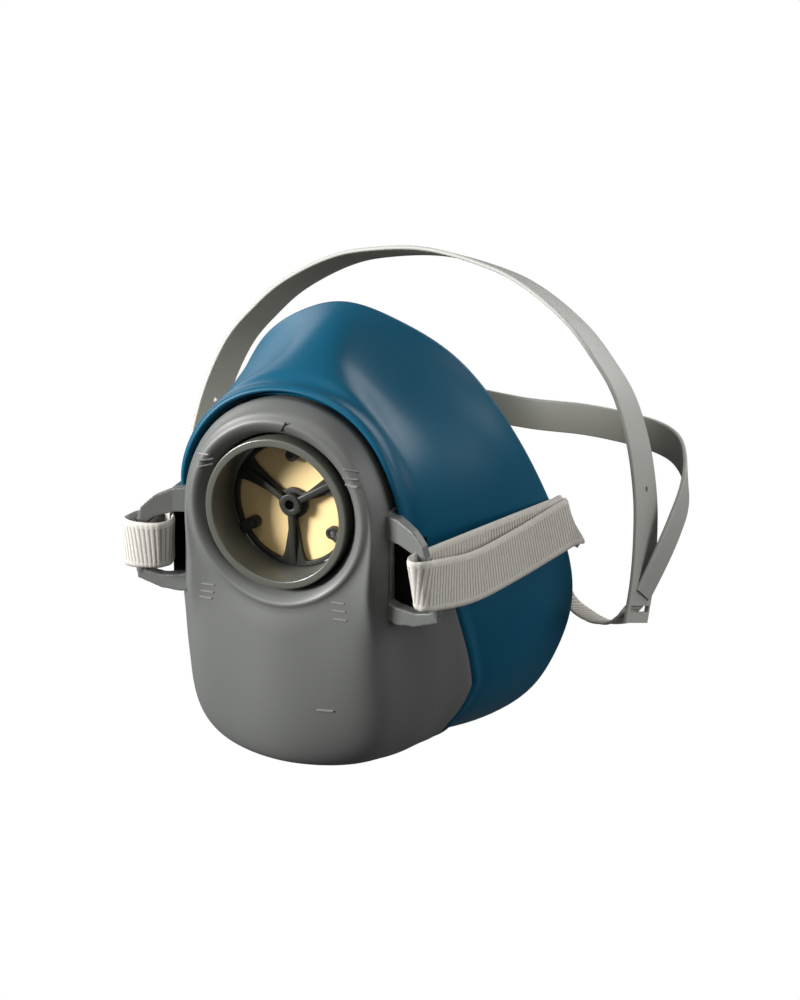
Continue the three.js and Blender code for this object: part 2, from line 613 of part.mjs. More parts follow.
// The cradle is drawn square to the head, leaned a little sideways, then turned about the upright axis.
const turnedHarness = ([x, y, z]) => {
  const dy = y - CROWN_PLANE_Y;
  const [c, s] = [Math.cos(HARNESS_YAW), Math.sin(HARNESS_YAW)];
  return [x * c - dy * s, x * s + dy * c + CROWN_PLANE_Y, z];
};
const skewed = ([x, y, z]) => [x - CROWN_SKEW * (z - CROWN_SKEW_Z), y, z];
const CROWN_HALF = [
  [0, 50.3], [21, 47.8], [35, 43.5], [50, 35], [60, 26], [68, 16.5], [74, 3.5], [77.5, -10], [78.8, -22],
  [79, -34], [78, -46],
];
const crownPoint = ([x, z]) => skewed([x, CROWN_PLANE_Y + CROWN_LEAN * z, z]);
const REAR_HALF = [
  [0, 170.5, -14.5], [24, 166, -12.2], [46, 156.5, -10], [62.5, 143, -7.4], [73, 131.5, -7],
  [80, 120.5, -9.3], [83.5, 111, -14], [84, 102, -20.5], [82.5, 94.5, -28.5], [79.5, 87.8, -38],
];
const REAR_ACROSS = [
  [0, 0.87, -0.49], [0, 0.75, -0.66], [0, 0.6, -0.8], [0, 0.4, -0.92], [0, 0.15, -0.99], [0, 0, -1],
];
const mirrorX = (points, side) => points.map(([x, ...rest]) => [side * x, ...rest]);
const throughMirror = (half) => [...mirrorX(half.slice(1).reverse(), -1), ...half];

function headCradle() {
  const crown = throughMirror(CROWN_HALF.map(crownPoint));
  const crownAcross = crown.map(() => [0, 1, -CROWN_LEAN]);
  const crownBand = ribbon(crown, crownAcross, CROWN_WIDTH, BAND_THICK, 60);
  const rear = throughMirror(REAR_HALF).map(skewed);
  const rearAcross = rear.map((_, i) => {
    const fromEnd = Math.min(i, rear.length - 1 - i);
    return REAR_ACROSS[Math.min(fromEnd, REAR_ACROSS.length - 1)];
  });
  const rearBand = ribbon(rear, rearAcross, REAR_WIDTH, BAND_THICK, 66);
  const slots = [-1, 1].map((side) => {
    const [x, y, z] = crownPoint([side * CRADLE_SLOT_X, CRADLE_SLOT_Z]);
    const slot = block([-4, -6.6, -1.4], [4, 6.6, 1.4]);
    slot.rotateX(-Math.atan(CROWN_LEAN));
    return slot.translate(x, y, z);
  });
  const cradle = cut(joined(crownBand, rearBand), ...slots);
  cradle.translate(0, -CROWN_PLANE_Y, 0);
  cradle.rotateZ(HARNESS_YAW);
  return cradle.translate(0, CROWN_PLANE_Y, 0);
}

// The rear elastic hangs from behind the cheek rim in a shallow loop and goes up into the cradle's slot.
function rearElastic(side) {
  const end = turnedHarness(crownPoint([side * (CRADLE_SLOT_X - 1.5), CRADLE_SLOT_Z]));
  const start = [side * 47, 93, -31];
  const along = (f, drop, sway = 0) => [
    start[0] + (end[0] - start[0]) * f, start[1] + (end[1] - start[1]) * f + sway, drop,
  ];
  const points = [
    start, along(0.06, -37.5, 0.5), along(0.2, -44, 1.5), along(0.38, -47.8, 2.4), along(0.58, -49.3, 2.2),
    along(0.78, -48.2, 0.6), along(0.92, -45.4, -1.5 - side * 0.5), end,
  ];
  const slotAcross = [0.095, 0.947, -0.31];
  const across = [
    [side * 0.1, 0.7, -0.7], [side * 0.1, 0.8, -0.6], [0, 0.95, -0.3], [0, 0.98, -0.2],
    slotAcross, slotAcross, slotAcross, slotAcross,
  ];
  return ribbon(points, across, REAR_ELASTIC_WIDTH, ELASTIC_THICK, 24);
}

// The neck strap hangs across the back of the mask as one loop, its two halves joined by a clasp.
const NECK_HALF = [
  [37.2, 80.4, -38], [31.5, 80.4, -47], [23, 80.4, -55.5], [14.5, 80.4, -60.6], [10.6, 80.4, -62],
];
const NECK_ACROSS = [[0.15, 0.8, -0.58], [0.05, 0.95, -0.3], [0, 1, 0], [0, 1, 0], [0, 1, 0]];
const neckElastic = (side) =>
  ribbon(mirrorX(NECK_HALF, side), mirrorX(NECK_ACROSS, side), ELASTIC_WIDTH, ELASTIC_THICK, 12);

const CLASP_Y = 80.4;
const CLASP_Z = -62.9;
const CLASP_HALF = 1.1;

// A slab of the clasp, between two distances along X and two across Y.
const claspSlab = (fromX, toX, fromY, toY, half = CLASP_HALF) =>
  block([fromX, CLASP_Y + fromY, CLASP_Z - half], [toX, CLASP_Y + toY, CLASP_Z + half]);
const claspHook = () => joined(claspSlab(4.2, 10.2, -9, 9), claspSlab(-6, 4.8, -4, 4));
const claspCatch = () => cut(claspSlab(-10.2, 3.8, -9, 9), claspSlab(-6.4, 4, -4.4, 4.4, 3));

// ---------- assembly ----------
const respirator = new THREE.Group();
const fromPort = new THREE.Group();
fromPort.position.copy(PORT_CENTRE);
respirator.add(fromPort);

function addPiece(name, geometry, pieceMaterial) {
  const mesh = new THREE.Mesh(geometry, pieceMaterial);
  mesh.name = name;
  fromPort.add(mesh);
}

const SIDES = [['left', 1], ['right', -1]];
addPiece('facepiece_cup', facepieceCup(), SILICONE);
addPiece('front_cover', frontCover(), COVER_PLASTIC);
addPiece('front_insert', frontInsert(), INSERT_PLASTIC);
addPiece('filter_socket', filterSocket(), SOCKET_PLASTIC);
addPiece('port_gasket', portGasket(), GASKET_RUBBER);
addPiece('inhalation_seat', inhalationSeat(), SOCKET_PLASTIC);
addPiece('inhalation_valve', inhalationValve(), VALVE_RUBBER);
addPiece('exhalation_seat', exhalationSeat(), INSERT_PLASTIC);
addPiece('exhalation_valve', exhalationValve(), VALVE_RUBBER);
addPiece('cup_clamp_ring', cupClampRing(), INSERT_PLASTIC);
addPiece('head_cradle', headCradle(), BAND_PLASTIC);
for (const [name, side] of SIDES) {
  addPiece(`strap_loop_${name}`, strapLoop(side), COVER_PLASTIC);
  addPiece(`front_elastic_${name}`, frontElastic(side), ELASTIC);
  addPiece(`rear_elastic_${name}`, rearElastic(side), ELASTIC);
  addPiece(`neck_elastic_${name}`, neckElastic(side), ELASTIC);
}
addPiece('clasp_hook', claspHook(), CLASP_PLASTIC);
addPiece('clasp_catch', claspCatch(), CLASP_PLASTIC);

export default respirator;
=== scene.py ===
"""Half-mask respirator: the visible model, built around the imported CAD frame.

Shapes are worked out in millimetres from the centre of the filter port's front rim, with x to the wearer's
left, y behind the rim and z up, and placed in the frame by `placed`.
"""
import math

import bmesh
import bpy
import numpy as np
from mathutils import Matrix, Vector


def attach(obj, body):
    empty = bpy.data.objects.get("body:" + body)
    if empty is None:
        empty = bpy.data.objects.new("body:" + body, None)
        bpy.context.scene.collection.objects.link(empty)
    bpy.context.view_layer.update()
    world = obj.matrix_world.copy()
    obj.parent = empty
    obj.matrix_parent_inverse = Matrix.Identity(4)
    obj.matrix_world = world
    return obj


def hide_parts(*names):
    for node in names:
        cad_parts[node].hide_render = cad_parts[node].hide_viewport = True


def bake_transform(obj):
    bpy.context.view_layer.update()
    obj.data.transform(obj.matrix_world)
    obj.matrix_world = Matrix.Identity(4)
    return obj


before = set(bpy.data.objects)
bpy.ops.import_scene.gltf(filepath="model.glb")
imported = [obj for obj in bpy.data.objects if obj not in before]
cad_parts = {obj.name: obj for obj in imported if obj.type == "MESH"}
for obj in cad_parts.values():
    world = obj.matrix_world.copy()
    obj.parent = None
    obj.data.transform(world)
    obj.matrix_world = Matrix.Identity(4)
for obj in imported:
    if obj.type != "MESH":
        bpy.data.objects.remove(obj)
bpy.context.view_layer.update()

MM = 0.001
PORT_ROW = np.array([0.0, -62.0, 16.0])


# ---------- camera, stage and light ----------
AZIMUTH = math.radians(24)
ELEVATION = math.radians(18)
CAMERA_DISTANCE = 760
CAMERA_LENS = 98.5
AIM_RIGHT = 34.86
AIM_UP = 4.17

RIGHT = np.array([math.cos(AZIMUTH), math.sin(AZIMUTH), 0])
UP = np.array([
    -math.sin(AZIMUTH) * math.sin(ELEVATION),
    math.cos(AZIMUTH) * math.sin(ELEVATION),
    math.cos(ELEVATION),
])
BACK = np.cross(RIGHT, UP)
AIM = PORT_ROW + AIM_RIGHT * RIGHT + AIM_UP * UP


def looking(location, right, up):
    """A matrix for a camera or light at location that looks along -(right x up)."""
    back = np.cross(right, up)
    matrix = Matrix.Identity(4)
    for i, axis in enumerate((right, up, back)):
        for j in range(3):
            matrix[j][i] = axis[j]
    matrix.translation = Vector(location) * MM
    return matrix


def add_camera():
    data = bpy.data.cameras.new("camera")
    data.lens = CAMERA_LENS
    data.clip_start = 0.02
    data.clip_end = 20
    camera = bpy.data.objects.new("camera", data)
    bpy.context.collection.objects.link(camera)
    camera.matrix_world = looking(AIM + CAMERA_DISTANCE * BACK, RIGHT, UP)
    bpy.context.scene.camera = camera


LIGHT_DISTANCE = 1600
# Each soft square light: its bearing and height in degrees, its side in millimetres and its power in watts.
LIGHTS = {
    "key_light": (-48, 16, 460, 52),
    "top_light": (10, 66, 800, 6),
    "right_light": (92, 20, 900, 11),
    "left_light": (-118, 24, 900, 7),
    "rear_light": (160, 25, 900, 10),
}


def add_area_light(name, azimuth, elevation, size, power):
    a = math.radians(azimuth)
    e = math.radians(elevation)
    right = np.array([math.cos(a), math.sin(a), 0])
    up = np.array([-math.sin(a) * math.sin(e), math.cos(a) * math.sin(e), math.cos(e)])
    data = bpy.data.lights.new(name, "AREA")
    data.size = size * MM
    data.energy = power
    light = bpy.data.objects.new(name, data)
    bpy.context.collection.objects.link(light)
    light.matrix_world = looking(LIGHT_DISTANCE * np.cross(right, up), right, up)


FLOOR_Z = -420
FLOOR_SIZE = 6.0
FLOOR_GLOW = 0.10
WORLD_STRENGTH = 0.20


def add_stage():
    bpy.ops.mesh.primitive_plane_add(size=FLOOR_SIZE, location=(0, 0, FLOOR_Z * MM))
    floor = bpy.context.object
    floor.name = "studio_floor"
    floor.data.materials.append(studio_white())
    world = bpy.data.worlds.new("studio")
    world.use_nodes = True
    tree = world.node_tree
    background = tree.nodes["Background"]
    background.inputs["Color"].default_value = (1, 1, 1, 1)
    background.inputs["Strength"].default_value = WORLD_STRENGTH
    backdrop = tree.nodes.new("ShaderNodeBackground")
    backdrop.inputs["Color"].default_value = (1, 1, 1, 1)
    backdrop.inputs["Strength"].default_value = 1.0
    ray = tree.nodes.new("ShaderNodeLightPath")
    mix = tree.nodes.new("ShaderNodeMixShader")
    tree.links.new(ray.outputs["Is Camera Ray"], mix.inputs["Fac"])
    tree.links.new(background.outputs["Background"], mix.inputs[1])
    tree.links.new(backdrop.outputs["Background"], mix.inputs[2])
    tree.links.new(mix.outputs["Shader"], tree.nodes["World Output"].inputs["Surface"])
    bpy.context.scene.world = world
    bpy.context.scene.view_settings.view_transform = "Standard"


# ---------- materials ----------
def studio_white():
    """A floor that glows evenly white, so the object stands on a plain pale ground."""
    material = bpy.data.materials.new("studio_white")
    material.use_nodes = True
    tree = material.node_tree
    glow = tree.nodes.new("ShaderNodeEmission")
    glow.inputs["Strength"].default_value = FLOOR_GLOW
    white = tree.nodes.new("ShaderNodeEmission")
    ray = tree.nodes.new("ShaderNodeLightPath")
    mix = tree.nodes.new("ShaderNodeMixShader")
    tree.links.new(ray.outputs["Is Camera Ray"], mix.inputs["Fac"])
    tree.links.new(glow.outputs["Emission"], mix.inputs[1])
    tree.links.new(white.outputs["Emission"], mix.inputs[2])
    tree.links.new(mix.outputs["Shader"], tree.nodes["Material Output"].inputs["Surface"])
    return material


def plain(name, colour, roughness, specular=0.5):
    material = bpy.data.materials.new(name)
    material.use_nodes = True
    shader = material.node_tree.nodes["Principled BSDF"]
    shader.inputs["Base Color"].default_value = (*colour, 1)
    shader.inputs["Roughness"].default_value = roughness
    shader.inputs["Specular IOR Level"].default_value = specular
    return material


GRAIN_DEPTH = 0.0002


def mottled(name, dark, light, scale, roughness, bump=0.0, bump_scale=900.0, specular=0.5):
    """A material whose colour drifts between two tones, with a fine grain."""
    material = plain(name, light, roughness, specular)
    tree = material.node_tree
    shader = tree.nodes["Principled BSDF"]
    place = tree.nodes.new("ShaderNodeTexCoord")
    noise = tree.nodes.new("ShaderNodeTexNoise")
    noise.inputs["Scale"].default_value = scale
    noise.inputs["Detail"].default_value = 3
    ramp = tree.nodes.new("ShaderNodeValToRGB")
    ramp.color_ramp.elements[0].position = 0.3
    ramp.color_ramp.elements[0].color = (*dark, 1)
    ramp.color_ramp.elements[1].position = 0.7
    ramp.color_ramp.elements[1].color = (*light, 1)
    tree.links.new(place.outputs["Object"], noise.inputs["Vector"])
    tree.links.new(noise.outputs["Fac"], ramp.inputs["Fac"])
    tree.links.new(ramp.outputs["Color"], shader.inputs["Base Color"])
    if bump:
        grain = tree.nodes.new("ShaderNodeTexNoise")
        grain.inputs["Scale"].default_value = bump_scale
        relief = tree.nodes.new("ShaderNodeBump")
        relief.inputs["Strength"].default_value = bump
        relief.inputs["Distance"].default_value = GRAIN_DEPTH
        tree.links.new(place.outputs["Object"], grain.inputs["Vector"])
        tree.links.new(grain.outputs["Fac"], relief.inputs["Height"])
        tree.links.new(relief.outputs["Normal"], shader.inputs["Normal"])
    return material


MATERIALS = {
    "silicone": mottled(
        "blue_silicone", (0.001, 0.066, 0.122), (0.002, 0.078, 0.142), 18, 0.42, 0.12, specular=0.22,
    ),
    "cover": mottled(
        "grey_cover", (0.105, 0.109, 0.104), (0.120, 0.124, 0.118), 14, 0.45, 0.10, specular=0.4,
    ),
    "socket": mottled(
        "olive_socket", (0.080, 0.082, 0.067), (0.092, 0.094, 0.078), 20, 0.28, 0.04, specular=0.6,
    ),
    "seat": mottled("dark_seat", (0.016, 0.016, 0.013), (0.022, 0.022, 0.018), 40, 0.45),
    "insert": plain("dark_insert", (0.025, 0.026, 0.024), 0.6),
    # Near black: painted shade, used for the sheets in the strap recesses and for the parting notch.
    "recess_shade": plain("black_painted_shade", (0.003, 0.003, 0.004), 0.8, 0.1),
    "gasket": plain("black_gasket", (0.004, 0.004, 0.004), 0.8, 0.2),
    "valve": mottled("cream_valve", (0.86, 0.62, 0.27), (0.95, 0.72, 0.36), 45, 0.6, 0.05),
    "elastic": mottled("grey_elastic", (0.49, 0.465, 0.425), (0.57, 0.54, 0.495), 700, 0.95, 0.5, 2500, 0.2),
    # Darker grey for the hollows between the elastic's ribs: painted shade.
    "groove_shade": plain("elastic_groove_shade", (0.31, 0.29, 0.255), 0.95, 0.1),
    "band": mottled("grey_band", (0.34, 0.34, 0.315), (0.37, 0.37, 0.345), 12, 0.5, 0.08),
    # Lighter copy of the band for the crown band's inner faces: painted light. The darker copy below paints
    # shade on the rear band's inner faces.
    "band_inner_light": mottled("grey_band_painted_light", (0.38, 0.38, 0.33), (0.41, 0.41, 0.36), 12, 0.5, 0.08),
    "band_shade": mottled("grey_band_shade", (0.085, 0.085, 0.070), (0.100, 0.100, 0.084), 12, 0.5, 0.08),
    "clasp": plain("grey_clasp", (0.09, 0.092, 0.08), 0.5),
    # Lighter than the cover: painted highlight on the raised ribs and the dash.
    "rib_highlight": plain("rib_painted_highlight", (0.20, 0.20, 0.19), 0.4),
}


# ---------- curves ----------
def mirrored(half):
    """A half outline runs from the mask's top down its +X side to the bottom; this adds the other half."""
    half = [tuple(map(float, p)) for p in half]
    return np.array(half + [(-x, y, z) for x, y, z in reversed(half[1:-1])])


def closed_curve(points):
    """A smooth closed curve through the points, as a function of places counted in points."""
    count = len(points)
    chord = 3 * (np.roll(points, -1, 0) - np.roll(points, 1, 0))
    unit = np.eye(count)
    slopes = np.linalg.solve(4 * unit + np.roll(unit, 1, 1) + np.roll(unit, -1, 1), chord)

    def at(places):
        places = np.asarray(places, float) % count
        i = np.floor(places).astype(int) % count
        f = (places - np.floor(places))[:, None]
        j = (i + 1) % count
        return hermite(points[i], points[j], slopes[i], slopes[j], f)

    return at


def hermite(p0, p1, m0, m1, f):
    g = 1 - f
    return (1 + 2 * f) * g * g * p0 + f * g * g * m0 + f * f * (3 - 2 * f) * p1 - f * f * g * m1


def through(rows, steps):
    """Points on a smooth curve through each column of rows, steps[i] of them from row i to the next."""
    rows = np.array(rows)
    gaps = np.sqrt(np.linalg.norm(np.diff(rows, axis=0), axis=2) + 1e-4)[..., None]
    chords = np.diff(rows, axis=0) / gaps
    slopes = np.empty_like(rows)
    slopes[0] = chords[0]
    slopes[-1] = chords[-1]
    slopes[1:-1] = (gaps[1:] * chords[:-1] + gaps[:-1] * chords[1:]) / (gaps[1:] + gaps[:-1])
    out = []
    for i, count in enumerate(steps):
        for k in range(count):
            h = gaps[i]
            out.append(hermite(rows[i], rows[i + 1], slopes[i] * h, slopes[i + 1] * h, k / count))
    out.append(rows[-1])
    return np.array(out)


def open_curve(points, places):
    """Points on the smooth strap curve through points, at places counted in points."""
    points = np.array(points, float)
    last = len(points) - 1
    slopes = np.gradient(points, axis=0)
    places = np.clip(np.asarray(places, float), 0, last)
    i = np.minimum(np.floor(places).astype(int), last - 1)
    f = (places - i)[:, None]
    return hermite(points[i], points[i + 1], slopes[i], slopes[i + 1], f)


def unit(vectors):
    return vectors / (np.linalg.norm(vectors, axis=-1, keepdims=True) + 1e-12)


def smoothstep(x):
    x = np.clip(x, 0, 1)
    return x * x * (3 - 2 * x)


def bump_at(distance, centre, width):
    return np.exp(-(((distance - centre) / width) ** 2))


# ---------- mesh tools ----------
SHARP_ANGLE = math.radians(38)


def placed(points):
    """Port millimetres to frame metres."""
    return (np.asarray(points, float) + PORT_ROW) * MM


def add_mesh(name, vertices, faces, material, sharp=SHARP_ANGLE):
    mesh = bpy.data.meshes.new(name)
    mesh.from_pydata([tuple(v) for v in placed(vertices)], [], faces)
    builder = bmesh.new()
    builder.from_mesh(mesh)
    bmesh.ops.remove_doubles(builder, verts=builder.verts, dist=1e-6)
    bmesh.ops.recalc_face_normals(builder, faces=builder.faces)
    builder.to_mesh(mesh)
    builder.free()
    mesh.materials.append(MATERIALS[material])
    piece = bpy.data.objects.new(name, mesh)
    bpy.context.collection.objects.link(piece)
    smooth(piece, sharp)
    return piece


def smooth(piece, sharp=SHARP_ANGLE):
    mesh = piece.data
    mesh.polygons.foreach_set("use_smooth", [True] * len(mesh.polygons))
    mesh.set_sharp_from_angle(angle=sharp)


def grid_faces(rows, columns, wrap_rows=False, wrap_columns=False):
    last_row = rows if wrap_rows else rows - 1
    last_column = columns if wrap_columns else columns - 1
    faces = []
    for r in range(last_row):
        for c in range(last_column):
            r2 = (r + 1) % rows
            c2 = (c + 1) % columns
            faces.append((r * columns + c, r * columns + c2, r2 * columns + c2, r2 * columns + c))
    return faces


def ring_piece(name, profile, material, sharp=SHARP_ANGLE):
    """profile[k][column] is a closed section carried round a ring of columns."""
    rows, columns = profile.shape[:2]
    return add_mesh(name, profile.reshape(-1, 3), grid_faces(rows, columns, True, True), material, sharp)


def turned(name, profile, material, centre=(0, 0, 0), steps=144, closed=True):
    """A turned piece from (radius, depth) pairs, closed on itself or starting and ending on the axis."""
    angles = np.arange(steps) * 2 * math.pi / steps
    rows = [
        np.stack([r * np.cos(angles), np.full(steps, y), r * np.sin(angles)], 1) + np.array(centre)
        for r, y in profile
    ]
    faces = grid_faces(len(rows), steps, closed, True)
    return add_mesh(name, np.concatenate(rows), faces, material)


def rounded_corners(profile, radius, steps=5, closed=True):
    """The profile with each corner rounded off."""
    points = np.array(profile, float)
    count = len(points)
    out = []
    for i, p in enumerate(points):
        before = points[(i - 1) % count] - p
        after = points[(i + 1) % count] - p
        if not closed and i in (0, count - 1):
            out.append(p)
            continue
        cut = min(radius, np.linalg.norm(before) * 0.45, np.linalg.norm(after) * 0.45)
        a = p + before / (np.linalg.norm(before) + 1e-9) * cut
        b = p + after / (np.linalg.norm(after) + 1e-9) * cut
        for k in range(steps + 1):
            f = k / steps
            out.append((1 - f) ** 2 * a + 2 * f * (1 - f) * p + f * f * b)
    return [tuple(q) for q in out]


def box_mesh(low, high):
    x0, y0, z0 = low
    x1, y1, z1 = high
    vertices = [(x, y, z) for x in (x0, x1) for y in (y0, y1) for z in (z0, z1)]
    faces = [(0, 1, 3, 2), (4, 6, 7, 5), (0, 4, 5, 1), (2, 3, 7, 6), (0, 2, 6, 4), (1, 5, 7, 3)]
    return np.array(vertices, float), faces


def hull_mesh(sections):
    """A solid through closed sections with the same number of corners, with flat ends."""
    count = len(sections[0])
    vertices = np.concatenate([np.array(s, float) for s in sections])
    faces = grid_faces(len(sections), count, False, True)
    faces.append(tuple(range(count - 1, -1, -1)))
    last = (len(sections) - 1) * count
    faces.append(tuple(range(last, last + count)))
    return vertices, faces


def merged(name, parts, material, sharp=SHARP_ANGLE):
    vertices = []
    faces = []
    start = 0
    for part_vertices, part_faces in parts:
        vertices.append(part_vertices)
        faces += [tuple(i + start for i in face) for face in part_faces]
        start += len(part_vertices)
    return add_mesh(name, np.concatenate(vertices), faces, material, sharp)


def applied(piece):
    """The piece's modifiers, made part of its mesh."""
    depsgraph = bpy.context.evaluated_depsgraph_get()
    mesh = bpy.data.meshes.new_from_object(piece.evaluated_get(depsgraph))
    piece.modifiers.clear()
    piece.data = mesh
    return piece


def fused(piece, voxel, smoothing):
    """The piece's solids run together into one moulded solid with soft inner corners."""
    remesh = piece.modifiers.new("fuse", "REMESH")
    remesh.mode = "VOXEL"
    remesh.voxel_size = voxel * MM
    remesh.use_smooth_shade = True
    soften = piece.modifiers.new("soften", "SMOOTH")
    soften.factor = 0.5
    soften.iterations = smoothing
    return applied(piece)


def carved(piece, cutters):
    """Cuts the cutter pieces out of the piece and removes them."""
    for cutter in cutters:
        boolean = piece.modifiers.new("cut", "BOOLEAN")
        boolean.object = cutter
        boolean.operation = "DIFFERENCE"
        boolean.solver = "EXACT"
    applied(piece)
    for cutter in cutters:
        bpy.data.objects.remove(cutter, do_unlink=True)
    smooth(piece)
    return piece


def bevelled(piece, width, segments=3, angle=35):
    bevel = piece.modifiers.new("bevel", "BEVEL")
    bevel.width = width * MM
    bevel.segments = segments
    bevel.limit_method = "ANGLE"
    bevel.angle_limit = math.radians(angle)
    applied(piece)
    smooth(piece)
    return piece


def stands_for(piece, body, slot, *nodes):
    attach(piece, body)
    if nodes:
        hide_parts(*nodes)


# ---------- silicone cup ----------
GUTTER = [
    (0, 13.4, 32.2), (13.8, 13.4, 29.2), (25, 13.4, 19.9), (31.2, 13.4, 6.2), (32, 13.4, -8),
    (32.2, 13.4, -22), (32.2, 13.4, -36), (31, 13.4, -49), (27, 13.4, -60), (16, 13.4, -68),
    (0, 13.4, -71),
]
BEAD = [
    (0, 8.6, 33.4), (14.6, 8.4, 30.3), (26.2, 8.2, 20.8), (32.8, 8.4, 6.5), (33.8, 11.5, -8), (34, 13.2, -22),
    (34, 13.6, -36), (32.5, 14, -49.5), (28.5, 15, -61.5), (17, 17, -70), (0, 18, -73),
]
CUP_ROWS = [
    [(0, 11.5, 35.2), (16, 11.5, 32), (28.5, 12, 22), (35, 12.5, 7), (35.5, 14.5, -8), (36, 16, -23),
     (36, 17, -38), (35.5, 18, -52), (31.5, 20, -65), (19, 23, -73), (0, 24, -75.5)],
    [(0, 27, 42.5), (9.5, 27.3, 39.6), (21, 29.6, 28.8), (37, 32, 12.5), (41, 32, -8), (42, 32, -26),
     (42, 33, -41.5), (40.5, 34, -56), (35, 35, -68), (22, 37, -76.5), (0, 38, -78.6)],
    [(0, 40, 48), (10.8, 41.8, 44.6), (26, 46.5, 33), (43, 50.5, 13.5), (49, 54, -7.5), (51.5, 55, -26),
     (52, 55, -43), (48.5, 54, -59.5), (40, 52, -72), (24, 47, -79.5), (0, 45, -81.3)],
    [(0, 47, 50), (14.8, 49.5, 45.7), (31.5, 56, 33.6), (45, 64, 13), (53, 70.5, -7), (58.5, 75, -26),
     (59.5, 76.5, -44), (54.5, 74, -61), (45, 69, -74), (26, 58, -82), (0, 52, -84)],
]
# The rolled rim's section: how far back of the cheek rim, and how far in from its outer face.
RIM_PROFILE = [
    (0.9, 0.1), (1.5, 0.6), (1.8, 1.4), (1.8, 2.4), (1.6, 4.5), (1.0, 7.5), (-0.2, 10.2), (-1.4, 11.9),
    (-2.2, 12.2), (-2.7, 11.6), (-1.8, 8.8), (-0.6, 5.6), (-0.8, 3.6),
]
CUP_STEPS = [6, 8, 26, 22, 18]
BEAD_ROW = CUP_STEPS[0]
CUP_WALL = 2.4
CUP_COLUMNS = 360
LAST_PLACE = 20
LIP_DEPTHS = (16.4, 13.6)
LIP_INSET = 0.985

# How far the cover's jaw wings reach over the cup, as a share of the way to the rim, at places down the side.
WING_TOP_PLACE = 5.22
WING_TOP_BLEND = 0.16
WING_PLACES = [5.2, 6, 7, 8, 9, 10]
WING_REACHES = [0.27, 0.34, 0.42, 0.40, 0.50, 0.68]
WING_EDGE_HEIGHT = 1.8
CHIN_FILL = 3.4
CHIN_FILL_FROM = 7.3
WING_SECTION = [(0.03, 2.8), (0.3, 2.6), (0.65, 2.5), (0.93, 2.4)]


def from_top(places):
    """Places counted from the nose down either side."""
    places = np.asarray(places, float) % LAST_PLACE
    return np.minimum(places, LAST_PLACE - places)


def wing_share(places):
    return smoothstep((from_top(places) - WING_TOP_PLACE) / WING_TOP_BLEND + 0.5)


def wing_reach(places):
    return np.interp(from_top(places), WING_PLACES, WING_REACHES)


CUP_CURVES = [closed_curve(mirrored(row)) for row in CUP_ROWS]


def cup_surface(places, reach):
    """Points on the cup's flank at a share of the way to its rim, and their outward normals."""
    reach = np.broadcast_to(np.asarray(reach, float), np.shape(places))

    def point(at_places, at_reach):
        rows = np.array([curve(at_places) for curve in CUP_CURVES])
        slopes = np.gradient(rows, axis=0)
        u = np.clip(at_reach, 0, 1) * (len(rows) - 1)
        i = np.minimum(np.floor(u).astype(int), len(rows) - 2)
        column = np.arange(len(at_reach))
        f = (u - i)[:, None]
        return hermite(rows[i, column], rows[i + 1, column], slopes[i, column], slopes[i + 1, column], f)

    along = point(places + 0.05, reach) - point(places - 0.05, reach)
    back = point(places, np.minimum(reach + 0.02, 1)) - point(places, np.maximum(reach - 0.02, 0))
    return point(places, reach), unit(np.cross(along, back))


def outward(grid):
    """Normals of a grid of rows by ring columns."""
    along = np.roll(grid, -1, 1) - np.roll(grid, 1, 1)
    back = np.gradient(grid, axis=0)
    return unit(np.cross(along, back))


def cup_relief(base, places):
    """The height of the raised bead beside the cover's edge and of the hollow behind it."""
    travelled = np.cumsum(np.linalg.norm(np.diff(base, axis=0, prepend=base[:1]), axis=2), axis=0)
    from_bead = travelled - travelled[BEAD_ROW]
    reach_point, _ = cup_surface(places, wing_reach(places))
    nearest = np.argmin(np.linalg.norm(base - reach_point, axis=2), axis=0)
    columns = np.arange(CUP_COLUMNS)
    at = base[nearest, columns]
    onward = unit(base[nearest + 1, columns] - at)
    between_rows = np.sum((reach_point - at) * onward, axis=1)
    wing = wing_share(places)
    past_edge = from_bead - (from_bead[nearest, columns] + between_rows) * wing
    collar_relief = 0.5 * bump_at(past_edge, 1.6, 1.4) - 0.75 * bump_at(past_edge, 5.2, 2.4)
    wing_relief = 2.0 * bump_at(past_edge, 2.2, 1.9) - 0.35 * bump_at(past_edge, 6.4, 2.2)
    relief = collar_relief * (1 - wing) + wing_relief * wing
    return relief * np.where(from_bead > 0, 1, 0.3)


def facepiece_cup():
    places = np.arange(CUP_COLUMNS) * LAST_PLACE / CUP_COLUMNS
    rows = [closed_curve(mirrored(half))(places) for half in (GUTTER, BEAD)]
    rows += [curve(places) for curve in CUP_CURVES]
    base = through(rows, CUP_STEPS)
    normals = outward(base)
    outer = base + normals * cup_relief(base, places)[..., None]
    rim = base[-1]
    out = normals[-1]
    back = unit(base[-1] - base[-3])
    seal = np.array([rim + back * along - out * inward for along, inward in RIM_PROFILE])
    inner = base[8::3][::-1][1:] - normals[8::3][::-1][1:] * CUP_WALL
    lip = np.array([base[0], base[0]])
    lip[:, :, 1] = np.array(LIP_DEPTHS)[:, None]
    lip[:, :, [0, 2]] *= LIP_INSET
    profile = np.concatenate([outer, seal, inner, lip])
    piece = ring_piece("silicone_cup", profile, "silicone", math.radians(60))
    stands_for(piece, "facepiece", "silicone", "facepiece_cup")


# ---------- front cover ----------
PORT_ANGLES = [90, 65, 38, 12, -10, -27, -42, -55, -67, -79, -90]


def round_row(radius, depth):
    angles = [math.radians(a) for a in PORT_ANGLES]
    return [(radius * math.cos(a), depth, radius * math.sin(a)) for a in angles]


